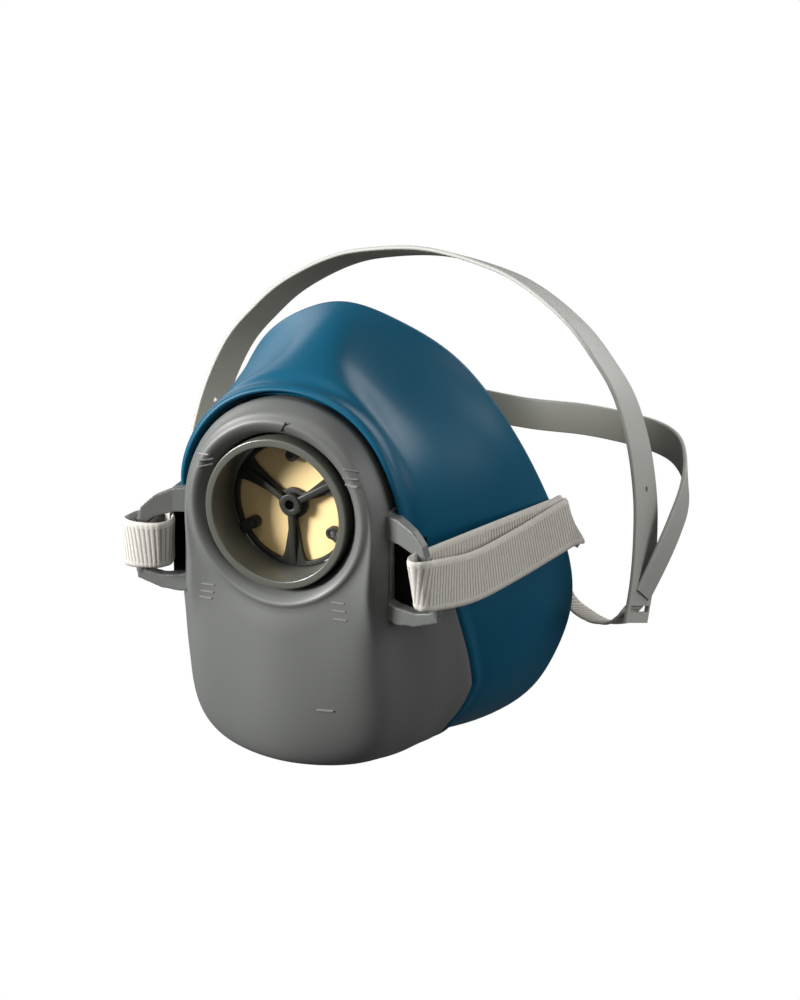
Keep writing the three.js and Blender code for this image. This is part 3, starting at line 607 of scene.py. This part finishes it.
COVER_FACE = [
    (0, 2.2, 29.3), (12.6, 2.1, 26.4), (22.4, 2, 18.2), (28, 1.8, 6), (29.3, 1.5, -8), (29.3, 1.2, -22),
    (29.3, 1, -36), (29, 1.5, -49), (26.5, 2.6, -61), (18, 4, -72), (0, 4, -75.5),
]
COVER_EDGE = [
    (0, 7, 31.5), (13.4, 7, 28.5), (24.4, 6.9, 19.4), (30.5, 6.5, 6), (31.6, 6.3, -8), (31.8, 6, -22),
    (32.3, 6, -36.5), (32.9, 7, -50.5), (31.2, 8.6, -64.5), (22.3, 11.5, -75.6), (0, 10, -78.2),
]
COVER_SKIRT = [
    (0, 12.7, 31.2), (13.2, 12.7, 28.3), (24.2, 12.7, 19.3), (30.2, 12.7, 6), (31.2, 12.7, -8),
    (31.4, 12.7, -22), (31.8, 12.7, -36.5), (32.6, 12.7, -50), (31.2, 14.5, -65), (22, 18.5, -76.2),
    (0, 19, -79.3),
]
# The turned part of the cover, from deep inside the port out over the collar's crest: radius, depth.
COLLAR_PROFILE = [(22.4, 7.0), (22.5, 4.6), (23.2, 2.9), (24.7, 1.2), (26.3, 0.4), (27.9, 1.2)]
COVER_WALL = 2.0
COVER_COLUMNS = 400
NOTCH_PLACES = (3.35, 5.12)
NOTCH_SHARE = 0.8
COVER_STEPS = [4, 4, 4, 5, 4, 14, 10, 6, 6, 8, 8, 8, 3]
SKIRT_SHARES = (0.3, 0.5, 0.65, 0.8, 0.92, 1.0)
LIP_ROWS = 8
LIP_WALL = 0.9
FRONT_ROWS = slice(8, 42)
FACE_INSET = 0.035
PROW_DEPTH = 6.0
PROW_HALF = 29.0
PROW_LEVEL = 0.75
BLEND_ROWS = slice(23, 66)
BLEND_PASSES = 60


def with_prow(rows):
    """The rows with the snout's front rounded from side to side, more the further down it is."""
    down = smoothstep((-rows[..., 2] - 20) / 24)
    across = np.clip(np.abs(rows[..., 0]) / PROW_HALF, 0, 1.1) ** 2
    front = smoothstep((11 - rows[..., 1]) / 6)
    bulged = rows.copy()
    bulged[..., 1] += PROW_DEPTH * (across - PROW_LEVEL) * down * front
    return bulged


def cover_places():
    even = np.arange(COVER_COLUMNS) * LAST_PLACE / COVER_COLUMNS
    dense = np.linspace(WING_TOP_PLACE - 0.15, WING_TOP_PLACE + 0.15, 20)
    return np.unique(np.concatenate([even, dense, LAST_PLACE - dense]).round(5))


def cover_rows(places):
    """The cover's outer rows, from inside the port to the rear edge, at those places."""
    def curve_of(half):
        return closed_curve(mirrored(half))(places)

    collar = [curve_of(round_row(radius, depth)) for radius, depth in COLLAR_PROFILE]
    face = curve_of(COVER_FACE)
    inset = FACE_INSET * smoothstep((from_top(places) - 3.4) / 1.6)
    face[:, 0] *= 1 - inset
    edge = curve_of(COVER_EDGE)
    skirt = curve_of(COVER_SKIRT)
    down = from_top(places)
    notch = smoothstep((down - NOTCH_PLACES[0]) / 0.08) * smoothstep((NOTCH_PLACES[1] - down) / 0.08)
    skirt = skirt + (edge - skirt) * (NOTCH_SHARE * notch)[:, None]
    reach = wing_reach(places)
    wing_rows = [edge + (skirt - edge) * 0.55]
    under_chin = CHIN_FILL * smoothstep((down - CHIN_FILL_FROM) / 1.6)
    for share, height in WING_SECTION:
        point, normal = cup_surface(places, reach * share)
        wing_rows.append(point + normal * (height + under_chin * (1 - share))[:, None])
    point, normal = cup_surface(places, reach)
    wing_rows.append(point + normal * WING_EDGE_HEIGHT)
    skirt_rows = [edge + (skirt - edge) * share for share in SKIRT_SHARES]
    wing = wing_share(places)[:, None]
    rear = [plain_row * (1 - wing) + wing_row * wing for plain_row, wing_row in zip(skirt_rows, wing_rows)]
    return collar + [face, edge] + rear


def with_soft_valley(rows, places):
    """The rows with the hollow between the snout's side and the jaw wings filled to a soft fillet."""
    wing = smoothstep((from_top(places) - 4.9) / 1.3)[:, None]
    for _ in range(BLEND_PASSES):
        block = rows[BLEND_ROWS]
        averaged = block.copy()
        averaged[1:-1] = (block[:-2] + 2 * block[1:-1] + block[2:]) / 4
        rows[BLEND_ROWS] = block * (1 - wing) + averaged * wing
    return rows


def front_cover():
    places = cover_places()
    outer = with_prow(through(cover_rows(places), COVER_STEPS))
    outer = with_soft_valley(outer, places)
    normals = outward(outer)
    wall = np.full(len(outer), COVER_WALL)
    wall[:LIP_ROWS] = LIP_WALL
    inner = (outer - normals * wall[:, None, None])[::-1]
    inner[0] += (outer[-1] - outer[-2]) * 0.3
    piece = ring_piece("cover_shell", np.concatenate([outer, inner]), "cover", math.radians(50))
    stands_for(piece, "facepiece", "cover_plastic", "front_cover")
    return outer, normals


def on_cover(outer, normals, x, z):
    """The cover's point and normal nearest to x and z, seen from the front."""
    front = outer[FRONT_ROWS].reshape(-1, 3)
    nearest = np.argmin((front[:, 0] - x) ** 2 + (front[:, 2] - z) ** 2)
    return front[nearest], normals[FRONT_ROWS].reshape(-1, 3)[nearest]


RIB_GROUPS = [(23.3, 13.5), (-21.9, 13.0), (18.9, -26), (-22.4, -26)]
RIB_PITCH = 2.0
# Length, width and height of a rib, of the dash on the snout and of the short parting line over the port.
RIB_SIZE = (4.4, 0.55, 0.3)
DASH_AT = (14.6, -56.2)
DASH_SIZE = (5.2, 0.7, 0.35)
PARTING_AT = (3.0, 25.4)
PARTING_WAY = np.array([0.5, 0, 0.86])
PARTING_SIZE = (4.2, 0.4, 0.06)


def rib(centre, normal, along, length, width, height):
    """A small raised rib on the cover, lying along the surface."""
    along = unit(along - normal * np.dot(along, normal))
    side = np.cross(normal, along)
    corners = []
    for n, w, l in ((-0.3, 1.0, 1.0), (height, 0.55, 0.9)):
        for sl, sw in ((-1, -1), (1, -1), (1, 1), (-1, 1)):
            corners.append(centre + normal * n + along * sl * l * length / 2 + side * sw * w * width / 2)
    faces = [(0, 1, 2, 3), (4, 5, 6, 7), (0, 1, 5, 4), (1, 2, 6, 5), (2, 3, 7, 6), (3, 0, 4, 7)]
    return np.array(corners), faces


def cover_marks(outer, normals):
    parts = []
    across = np.array([1.0, 0, 0])
    for x, z in RIB_GROUPS:
        for k in (-1, 0, 1):
            point, normal = on_cover(outer, normals, x, z + k * RIB_PITCH)
            parts.append(rib(point, normal, across, *RIB_SIZE))
    point, normal = on_cover(outer, normals, *DASH_AT)
    parts.append(rib(point, normal, across, *DASH_SIZE))
    # The ribs get the lighter grey: painted highlight along them.
    piece = merged("cover_ribs", parts, "rib_highlight")
    stands_for(piece, "facepiece", "cover_plastic")
    point, normal = on_cover(outer, normals, *PARTING_AT)
    # The parting nick is coloured near black: painted shade in the notch.
    parting = merged("parting_nick", [rib(point, normal, PARTING_WAY, *PARTING_SIZE)], "recess_shade")
    stands_for(parting, "facepiece", "cover_plastic")


# ---------- port and valves ----------
def filter_socket():
    profile = rounded_corners([
        (19.5, 0), (21.8, 0), (21.8, 10.6), (23.0, 11.2), (23.0, 12.5), (18.9, 12.5),
    ], 0.55, 6)
    piece = turned("port_tube", profile, "socket")
    stands_for(piece, "facepiece", "socket_plastic", "filter_socket")
    section = rounded_corners([(22.0, 6.5), (23.1, 6.5), (23.1, 10.2), (22.0, 10.2)], 0.3, 3)
    ring = turned("port_seal", section, "gasket")
    stands_for(ring, "facepiece", "gasket_rubber", "port_gasket")


SPOKE_ANGLES = [30, 150, 270]
PEG_ANGLES = [90, 210, 330]
PEG_CIRCLE_R = 14.2
WINDOW_R = 17.3
SEAT_BACK = 13.0
HUB_CLEAR_R = 4.4
SPOKE_HALF = 0.9
SPOKE_SPREAD = 0.17
PETAL_STEPS = 31
HUB_STEPS = 9
PETAL_CORNER_RADII = (4.2, 4.2, 1.2, 1.2)
PETAL_DEPTHS = (9.0, 15.0)


def petal_cutter(middle):
    """The opening between two spokes, as a prism with rounded corners."""
    def edge_angle(radius, side):
        half = SPOKE_HALF + SPOKE_SPREAD * (radius - HUB_CLEAR_R)
        return math.radians(middle) + side * (math.radians(60) - math.asin(half / radius))

    def arc(radius, from_side, to_side, steps):
        a = edge_angle(radius, from_side)
        b = edge_angle(radius, to_side)
        return [(radius * math.cos(t), radius * math.sin(t)) for t in np.linspace(a, b, steps)]

    outline = arc(WINDOW_R, -1, 1, PETAL_STEPS) + arc(HUB_CLEAR_R, 1, -1, HUB_STEPS)
    mesh = bmesh.new()
    corners = [mesh.verts.new((x, 0, z)) for x, z in outline]
    mesh.faces.new(corners)
    sharp = [corners[0], corners[PETAL_STEPS - 1], corners[PETAL_STEPS], corners[-1]]
    for vert, radius in zip(sharp, PETAL_CORNER_RADII):
        bmesh.ops.bevel(mesh, geom=[vert], offset=radius, segments=6, affect="VERTICES", profile=0.5)
    mesh.verts.ensure_lookup_table()
    face = max(mesh.faces, key=lambda f: f.calc_area())
    flat = np.array([v.co[:] for v in face.verts])
    mesh.free()
    return merged("petal", [hull_mesh([flat + np.array([0, depth, 0]) for depth in PETAL_DEPTHS])], "seat")


def inhalation_seat():
    section = rounded_corners([(2.0, 11.6), (18.55, 11.6), (18.55, SEAT_BACK), (2.0, SEAT_BACK)], 0.15, 2)
    plate = turned("seat_plate", section, "seat")
    carved(plate, [petal_cutter(middle) for middle in PEG_ANGLES])
    bevelled(plate, 0.22, 2, 50)
    stands_for(plate, "facepiece", "socket_plastic", "inhalation_seat")
    parts = [fin_mesh(angle, 2.4, 18.4, 9.7, 11.5, 1.9) for angle in SPOKE_ANGLES]
    parts += [fin_mesh(angle, 13.6, 18.4, 10.9, 10.2, 3.2) for angle in PEG_ANGLES]
    fins = bevelled(merged("seat_fins", parts, "seat"), 0.3, 3)
    stands_for(fins, "facepiece", "socket_plastic")
    hub = turned("seat_hub", rounded_corners([
        (0, 11.4), (1.35, 11.4), (1.35, 9.4), (3.2, 9.4), (3.2, SEAT_BACK), (1.3, SEAT_BACK), (1.3, 16.2),
        (2.3, 16.4), (1.2, 17.8), (0, 17.8),
    ], 0.35, 4, closed=False), "seat", steps=64, closed=False)
    stands_for(hub, "facepiece", "socket_plastic")
    for angle in PEG_ANGLES:
        a = math.radians(angle)
        centre = (PEG_CIRCLE_R * math.cos(a), 0, PEG_CIRCLE_R * math.sin(a))
        section = rounded_corners([(0.7, 10.6), (1.75, 10.6), (1.75, SEAT_BACK), (0.7, SEAT_BACK)], 0.2, 3)
        peg = turned("seat_peg_%d" % angle, section, "seat", centre, 40)
        stands_for(peg, "facepiece", "socket_plastic")


def fin_mesh(angle, inner_r, outer_r, inner_front, outer_front, thick):
    """A radial fin whose front edge slopes from inner_front to outer_front, down to the seat's back."""
    a = math.radians(angle)
    out = np.array([math.cos(a), 0, math.sin(a)])
    side = np.array([-math.sin(a), 0, math.cos(a)]) * thick / 2
    deep = np.array([0, 1.0, 0])
    sections = []
    for radius, front in ((inner_r, inner_front), (outer_r, outer_front)):
        centre = out * radius
        sections.append([
            centre - side + deep * front, centre + side + deep * front,
            centre + side + deep * SEAT_BACK, centre - side + deep * SEAT_BACK,
        ])
    return hull_mesh(sections)


FLAP_THICK = 0.7


def valves():
    for name, radius, front, z, body, node in (
        ("inhalation_disc", 18.3, 13.3, 0, "inhalation_flap", "inhalation_valve"),
        ("exhalation_disc", 12.6, 11.4, -40, "exhalation_flap", "exhalation_valve"),
    ):
        back = front + FLAP_THICK
        profile = rounded_corners([(1.7, front), (radius, front), (radius, back), (1.7, back)], 0.2, 3)
        piece = turned(name, profile, "valve", (0, 0, z), 128)
        stands_for(piece, body, "valve_rubber", node)


# ---------- strap loops and recesses ----------
LOOP_BAR_TOP = np.array([44.6, 3.9, -8.0])
LOOP_BAR_BOTTOM = np.array([46.5, 6.6, -25.0])
LOOP_BAR_R = 1.6
FLANGE_X = 29.9
FLANGE_HALF = 1.9


def mirror_x(points, side):
    return np.array(points, float) * np.array([side, 1, 1])


def round_bar(start, end, radius, steps=20):
    axis = unit(end - start)
    across = unit(np.cross(axis, np.array([0, 1.0, 0])))
    other = np.cross(axis, across)
    angles = np.arange(steps) * 2 * math.pi / steps
    section = [across * radius * math.cos(a) + other * radius * math.sin(a) for a in angles]
    return hull_mesh([[start + s for s in section], [end + s for s in section]])


def arm_sections(points, side):
    """points: (x, y, z of the top, z of the bottom, thickness) along an arm."""
    sections = []
    for x, y, top, bottom, thick in points:
        sections.append([
            (side * x, y - thick / 2, bottom), (side * x, y + thick / 2, bottom),
            (side * x, y + thick / 2, top), (side * x, y - thick / 2, top),
        ])
    return hull_mesh(sections)


UPPER_ARM = [
    (29.5, 8.6, 2.4, -5.2, 4.6), (35.0, 7.4, 1.6, -5.4, 4.2), (40.5, 5.2, -0.8, -7.2, 3.6),
    (44.0, 3.9, -4.2, -10.5, 3.4), (45.2, 3.8, -8.0, -14.0, 3.2),
]
LOWER_ARM = [
    (29.5, 8.8, -22.6, -28.6, 4.6), (34.0, 8.5, -24.4, -29.6, 4.4), (40.0, 7.8, -25.2, -29.2, 3.8),
    (47.2, 6.7, -23.8, -26.8, 3.2),
]


def strap_loop(side, name):
    parts = [
        box_mesh((side * FLANGE_X - FLANGE_HALF, 8.0, -27.9), (side * FLANGE_X + FLANGE_HALF, 12.6, 2.6)),
        arm_sections(UPPER_ARM, side),
        arm_sections(LOWER_ARM, side),
        round_bar(mirror_x(LOOP_BAR_TOP, side), mirror_x(LOOP_BAR_BOTTOM, side), LOOP_BAR_R),
    ]
    piece = fused(merged("loop_" + name, parts, "cover"), 0.28, 5)
    stands_for(piece, "facepiece", "cover_plastic", "strap_loop_" + name)


RECESS_PLACES = (3.95, 5.2)
RECESS_REACH = 0.10
RECESS_THICK = 0.45
RECESS_PLATE_X = (30, 38.2)
RECESS_PLATE_Y = (10.4, 11.4)
RECESS_PLATE_Z = (-26.0, -4.6)


def strap_recess_shade(side, name):
    """A black wall behind a strap loop, between the cover's side and the cup: painted shade standing for the
    shadowed recess there.
    """
    places = np.linspace(*RECESS_PLACES, 40)
    if side < 0:
        places = LAST_PLACE - places[::-1]
    gutter = closed_curve(mirrored(GUTTER))(places)
    bead = closed_curve(mirrored(BEAD))(places)
    first, first_normal = cup_surface(places, 0.0)
    last, last_normal = cup_surface(places, RECESS_REACH)
    shift = np.array([0, -0.6, 0])
    lead = gutter * np.array([0.96, 1, 1]) + np.array([0, -3.6, 0])
    rows = [lead, bead + shift, first + first_normal * 0.9, last + last_normal * 0.5]
    outer = through(rows, [4, 6, 6])
    inner = outer + np.array([0, RECESS_THICK, 0])
    grid = np.concatenate([outer, inner[::-1]])
    piece = add_mesh("recess_shade_" + name, grid.reshape(-1, 3), grid_faces(*grid.shape[:2], True), "recess_shade")
    stands_for(piece, "facepiece", "insert_plastic")
    sides = sorted(side * x for x in RECESS_PLATE_X)
    shelf = box_mesh(*zip(sides, RECESS_PLATE_Y, RECESS_PLATE_Z))
    plate = bevelled(merged("recess_shade_plate_" + name, [shelf], "recess_shade"), 0.3)
    stands_for(plate, "facepiece", "insert_plastic")


# ---------- straps ----------
ELASTIC_WIDTH = 14.5
ELASTIC_THICK = 1.1
RIB_SPACING = 1.35
RIB_DEPTH = 0.15
STEPS_PER_RIB = 6
GROOVE_WIDTH = 0.2
EDGE_RAISE = 0.10
ACROSS = np.linspace(-1, 1, 17)


def strap_frames(points, across, spacing):
    """Evenly spaced centres along a strap, with its width and thickness directions."""
    fine = np.linspace(0, len(points) - 1, 1500)
    path = open_curve(points, fine)
    travelled = np.concatenate([[0], np.cumsum(np.linalg.norm(np.diff(path, axis=0), axis=1))])
    count = max(8, int(round(travelled[-1] / spacing)))
    even = np.interp(np.linspace(0, travelled[-1], count + 1), travelled, fine)
    centres = open_curve(points, even)
    tangents = unit(open_curve(points, even + 0.02) - open_curve(points, even - 0.02))
    across = np.array(across, float)
    i = np.minimum(np.floor(even).astype(int), len(points) - 2)
    f = (even - i)[:, None]
    wide = across[i] * (1 - f) + across[i + 1] * f
    wide = unit(wide - tangents * np.sum(wide * tangents, 1)[:, None])
    thick = unit(np.cross(tangents, wide))
    return centres, wide, thick, np.linspace(0, travelled[-1], count + 1)


def strip_faces(rows, columns):
    """Faces of a closed section of rows carried along the columns, with flat ends."""
    faces = grid_faces(rows, columns, True, False)
    faces.append(tuple(r * columns for r in range(rows)))
    faces.append(tuple(r * columns + columns - 1 for r in reversed(range(rows))))
    return faces


def woven_strap(name, points, across, width):
    """A flat elastic strap with ribs across it and a firm edge down each side."""
    centres, wide, thick, along = strap_frames(points, across, RIB_SPACING / STEPS_PER_RIB)
    ribs = RIB_DEPTH * np.abs(np.sin(math.pi * along / RIB_SPACING))
    edge = smoothstep((np.abs(ACROSS) - 0.84) / 0.1)
    taper = 1 - 0.75 * smoothstep((np.abs(ACROSS) - 0.93) / 0.07)
    half = (ELASTIC_THICK / 2 - RIB_DEPTH) * taper + EDGE_RAISE * edge * taper
    height = half[:, None] + ribs[None, :] * (1 - edge)[:, None]
    flat = centres + wide * (ACROSS[:, None, None] * width / 2)
    rise = thick * height[..., None]
    grid = np.concatenate([flat + rise, (flat - rise)[::-1]])
    piece = add_mesh(name, grid.reshape(-1, 3), strip_faces(*grid.shape[:2]), "elastic", math.radians(75))
    paint_groove_shade(piece, grid, along)
    return piece


def paint_groove_shade(piece, grid, along):
    """Gives the floor between each two ribs a darker grey: painted shade in the hollows."""
    middle = (along[1:] + along[:-1]) / 2 / RIB_SPACING
    groove_shade = np.abs(middle - np.round(middle)) < GROOVE_WIDTH
    per_row = len(ACROSS)
    piece.data.materials.append(MATERIALS["groove_shade"])
    columns = grid.shape[1]
    for polygon in piece.data.polygons:
        if len(polygon.vertices) != 4:
            continue
        rows = [vertex // columns % (2 * per_row) for vertex in polygon.vertices]
        lines = [vertex % columns for vertex in polygon.vertices]
        flat = all(1 < min(row, 2 * per_row - 1 - row) < per_row - 2 for row in rows)
        if flat and max(lines) - min(lines) == 1 and groove_shade[min(lines)]:
            polygon.material_index = 1


OUTER_RUN = [
    (52, 88.2, -24.5), (54.6, 84.2, -21.5), (57.9, 80.6, -19), (59.4, 76.6, -17.2), (58.4, 68, -17.2),
    (54.8, 45, -18.0), (51.2, 22, -17.8),
]
SNUG_TURN = [(47.8, 5, -15.2), (46, -0.4, -14.2), (43, -1.6, -13.8), (41.6, 1.2, -13.6), (43.2, 7, -13.4)]
SLACK_TURN = [(49.2, 6, -14.8), (47.6, 0, -14.2), (42, -2.5, -13.8), (35.8, -0.6, -13.6), (35.6, 6, -13.4)]
INNER_RUN = [
    (47.4, 24, -13.8), (52, 45, -14.6), (56.3, 66, -15.6), (57.9, 75.4, -16.4), (56.8, 78.6, -17.4),
    (52, 80.2, -21), (47, 80.4, -26), (43, 80.4, -31.5),
]
RIM_ACROSS = (0.27, 0.3, -0.92)
BAR_ACROSS = (0.1, 0.14, -0.98)
FRONT_ACROSS = [
    (0.2, 0.5, -0.84), (0.25, 0.4, -0.88), *[RIM_ACROSS] * 3, (0.2, 0.2, -0.95), (0.15, 0.16, -0.97),
    *[BAR_ACROSS] * 5, (0.15, 0.16, -0.97), (0.2, 0.2, -0.95), *[RIM_ACROSS] * 3, (0.3, 0.3, -0.9),
    (0.3, 0.32, -0.9), (0.3, 0.42, -0.86),
]


def front_strap(side, name):
    turn = SNUG_TURN if side > 0 else SLACK_TURN
    points = mirror_x(OUTER_RUN + turn + INNER_RUN, side)
    across = mirror_x(FRONT_ACROSS, side)
    piece = woven_strap("front_strap_" + name, points, across, ELASTIC_WIDTH)
    stands_for(piece, "facepiece", "elastic_web", "front_elastic_" + name)


# ---------- head cradle ----------
BAND_THICK = 1.3
CROWN_WIDTH = 16
REAR_WIDTH = 10.5
CROWN_PLANE_Y = 100
CROWN_LEAN = 0.326
HARNESS_YAW = -0.1
CROWN_SKEW = 0.08
CROWN_SKEW_Z = 5
CRADLE_CENTRE = (0, 100, -5)
CRADLE_SLOT_X = 78.3
CRADLE_SLOT_Z = -42
CUTTER_REACH = 4
SLOT_HALF = np.array([CUTTER_REACH, 6.6, 0.95])
PIN_HOLE_R = 0.9
PIN_HOLES = [(77.0, -8.5), (-76.0, -3.0)]
CROWN_HALF = [
    (0, 50.3), (21, 47.8), (35, 43.5), (50, 35), (60, 26), (68, 16.5), (74, 3.5), (77.5, -10), (78.8, -22),
    (79, -34), (78, -46),
]
REAR_HALF = [
    (0, 170.5, -14.5), (24, 166, -12.2), (46, 156.5, -10), (62.5, 143, -7.4), (73, 131.5, -7),
    (80, 120.5, -9.3), (83.5, 111, -14), (84, 102, -20.5), (82.5, 94.5, -28.5), (79.5, 87.8, -38),
]
REAR_ACROSS = [
    (0, 0.87, -0.49), (0, 0.75, -0.66), (0, 0.6, -0.8), (0, 0.4, -0.92), (0, 0.15, -0.99), (0, 0, -1),
]


def yawed(points):
    """Points or directions turned about the upright axis by the cradle's yaw."""
    x, y, z = np.moveaxis(np.array(points, float), -1, 0)
    c = math.cos(HARNESS_YAW)
    s = math.sin(HARNESS_YAW)
    return np.stack([x * c - y * s, x * s + y * c, z], -1)


def harness_turned(points):
    """Leans the cradle a little sideways and turns it about the upright axis, as it rests."""
    points = np.array(points, float)
    points[..., 0] -= CROWN_SKEW * (points[..., 2] - CROWN_SKEW_Z)
    points[..., 1] -= CROWN_PLANE_Y
    return yawed(points) + np.array([0, CROWN_PLANE_Y, 0])


def crown_point(x, z):
    return (x, CROWN_PLANE_Y + CROWN_LEAN * z, z)


def through_mirror(half):
    half = [tuple(p) for p in half]
    return [(-p[0], *p[1:]) for p in reversed(half[1:])] + half


def band_mesh(points, across, width, thickness, spacing=1.0):
    """A thin moulded band with rounded edges."""
    centres, wide, thick, _ = strap_frames(points, across, spacing)
    section = rounded_corners([
        (-width / 2, -thickness / 2), (width / 2, -thickness / 2), (width / 2, thickness / 2),
        (-width / 2, thickness / 2),
    ], 0.5, 3)
    rings = np.array([centres + wide * w + thick * t for w, t in section])
    return rings.reshape(-1, 3), strip_faces(*rings.shape[:2])


def slot_cutter(side):
    vertices, faces = box_mesh(-SLOT_HALF, SLOT_HALF)
    x, y, z = vertices.T
    lean = -math.atan(CROWN_LEAN)
    c = math.cos(lean)
    s = math.sin(lean)
    leaned = np.stack([x, y * c - z * s, y * s + z * c], 1)
    centre = harness_turned(crown_point(side * CRADLE_SLOT_X, CRADLE_SLOT_Z))
    return merged("slot", [(yawed(leaned) + centre, faces)], "band")


def hole_cutter(x, z):
    centre = harness_turned(crown_point(x, z))
    reach = yawed((CUTTER_REACH, 0, 0))
    return merged("hole", [round_bar(centre - reach, centre + reach, PIN_HOLE_R)], "band")


def paint_inside_shading(piece, tone):
    """Gives the faces that look towards the cradle's middle the given tone: painted light on the crown band's
    inner faces, painted shade on the rear band's.
    """
    piece.data.materials.append(MATERIALS[tone])
    centre = Vector(placed(CRADLE_CENTRE))
    for polygon in piece.data.polygons:
        if polygon.normal.dot((polygon.center - centre).normalized()) < -0.3:
            polygon.material_index = 1


def head_cradle():
    crown = harness_turned(through_mirror([crown_point(x, z) for x, z in CROWN_HALF]))
    crown_across = [yawed((0, 1, -CROWN_LEAN))] * len(crown)
    rear = harness_turned(through_mirror(REAR_HALF))
    order = [min(i, len(rear) - 1 - i) for i in range(len(rear))]
    rear_across = [yawed(REAR_ACROSS[min(i, len(REAR_ACROSS) - 1)]) for i in order]
    piece = merged("cradle_crown_band", [band_mesh(crown, crown_across, CROWN_WIDTH, BAND_THICK)], "band")
    carved(piece, [slot_cutter(side) for side in (-1, 1)] + [hole_cutter(x, z) for x, z in PIN_HOLES])
    paint_inside_shading(piece, "band_inner_light")
    stands_for(piece, "harness", "band_plastic", "head_cradle")
    rear_piece = merged("cradle_rear_band", [band_mesh(rear, rear_across, REAR_WIDTH, BAND_THICK)], "band")
    paint_inside_shading(rear_piece, "band_shade")
    stands_for(rear_piece, "harness", "band_plastic")


REAR_ELASTIC_WIDTH = 12.4
REAR_TAIL = 3.2
SLOT_ACROSS = (0.095, 0.947, -0.31)


def rear_strap(side, name):
    """The elastic from the cheek rim's fold down in a shallow loop and up into the cradle's slot."""
    end = harness_turned(crown_point(side * (CRADLE_SLOT_X - 1.5), CRADLE_SLOT_Z))
    start = np.array([side * 47, 93, -31])

    def along(share, height, sway=0.0):
        x, y = (start + (end - start) * share)[:2]
        return (x, y + sway, height)

    before_slot = along(0.92, -45.4, -1.5 - side * 0.5)
    out = unit(end - np.array(before_slot))
    points = [
        (side * 52, 88.2, -24.5), (side * 48.6, 91.5, -27.6), tuple(start), along(0.06, -37.5, 0.5),
        along(0.2, -46.5, 1.5), along(0.38, -50.2, 2.4), along(0.58, -51.0, 2.2), along(0.78, -48.8, 0.6),
        before_slot, tuple(end), tuple(end + out * REAR_TAIL),
    ]
    across = [
        (side * 0.2, 0.5, -0.84), (side * 0.15, 0.6, -0.78), (side * 0.1, 0.7, -0.7), (side * 0.1, 0.8, -0.6),
        (0, 0.95, -0.3), (0, 0.98, -0.2),
    ] + [SLOT_ACROSS] * 5
    piece = woven_strap("rear_strap_" + name, points, across, REAR_ELASTIC_WIDTH)
    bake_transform(piece)
    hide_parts("rear_elastic_" + name)


# ---------- neck strap ----------
NECK_HALF = [
    (43, 80.4, -31.5), (37.2, 80.4, -38), (31.5, 80.4, -47), (23, 80.4, -55.5), (14.5, 80.4, -60.6),
    (10.6, 80.4, -62),
]
NECK_ACROSS = [
    (0.3, 0.42, -0.86), (0.15, 0.8, -0.58), (0.05, 0.95, -0.3), (0, 1, 0), (0, 1, 0), (0, 1, 0),
]
CLASP_Y = 80.4
CLASP_Z = -62.9


def neck_strap(side, name):
    points = mirror_x(NECK_HALF, side)
    across = mirror_x(NECK_ACROSS, side)
    piece = woven_strap("neck_strap_" + name, points, across, ELASTIC_WIDTH)
    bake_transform(piece)
    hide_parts("neck_elastic_" + name)


def clasp_slab(from_x, to_x, from_y, to_y, half=1.1):
    low = (from_x, CLASP_Y + from_y, CLASP_Z - half)
    high = (to_x, CLASP_Y + to_y, CLASP_Z + half)
    return box_mesh(low, high)


def clasp():
    hook = merged("clasp_hook_part", [clasp_slab(4.2, 10.2, -9, 9), clasp_slab(-6, 4.8, -4, 4)], "clasp")
    hook = fused(hook, 0.25, 4)
    stands_for(hook, "neck_strap", "clasp_plastic", "clasp_hook")
    rails = [clasp_slab(-10.2, -6.4, -9, 9), clasp_slab(-7, 3.8, -9, -4.4), clasp_slab(-7, 3.8, 4.4, 9)]
    catch = fused(merged("clasp_catch_part", rails, "clasp"), 0.25, 4)
    stands_for(catch, "neck_strap", "clasp_plastic", "clasp_catch")


def dress_cad_nodes():
    """CAD pieces whose shape stays get their procedural material."""
    for node in ("front_insert", "exhalation_seat", "cup_clamp_ring"):
        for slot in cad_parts[node].material_slots:
            slot.material = MATERIALS["insert"]


add_camera()
add_stage()
for light_name, light_facts in LIGHTS.items():
    add_area_light(light_name, *light_facts)

facepiece_cup()
cover_outer, cover_normals = front_cover()
cover_marks(cover_outer, cover_normals)
filter_socket()
inhalation_seat()
valves()
for side_name, side_sign in (("left", 1), ("right", -1)):
    strap_loop(side_sign, side_name)
    strap_recess_shade(side_sign, side_name)
    front_strap(side_sign, side_name)
    rear_strap(side_sign, side_name)
    neck_strap(side_sign, side_name)
head_cradle()
clasp()
dress_cad_nodes()
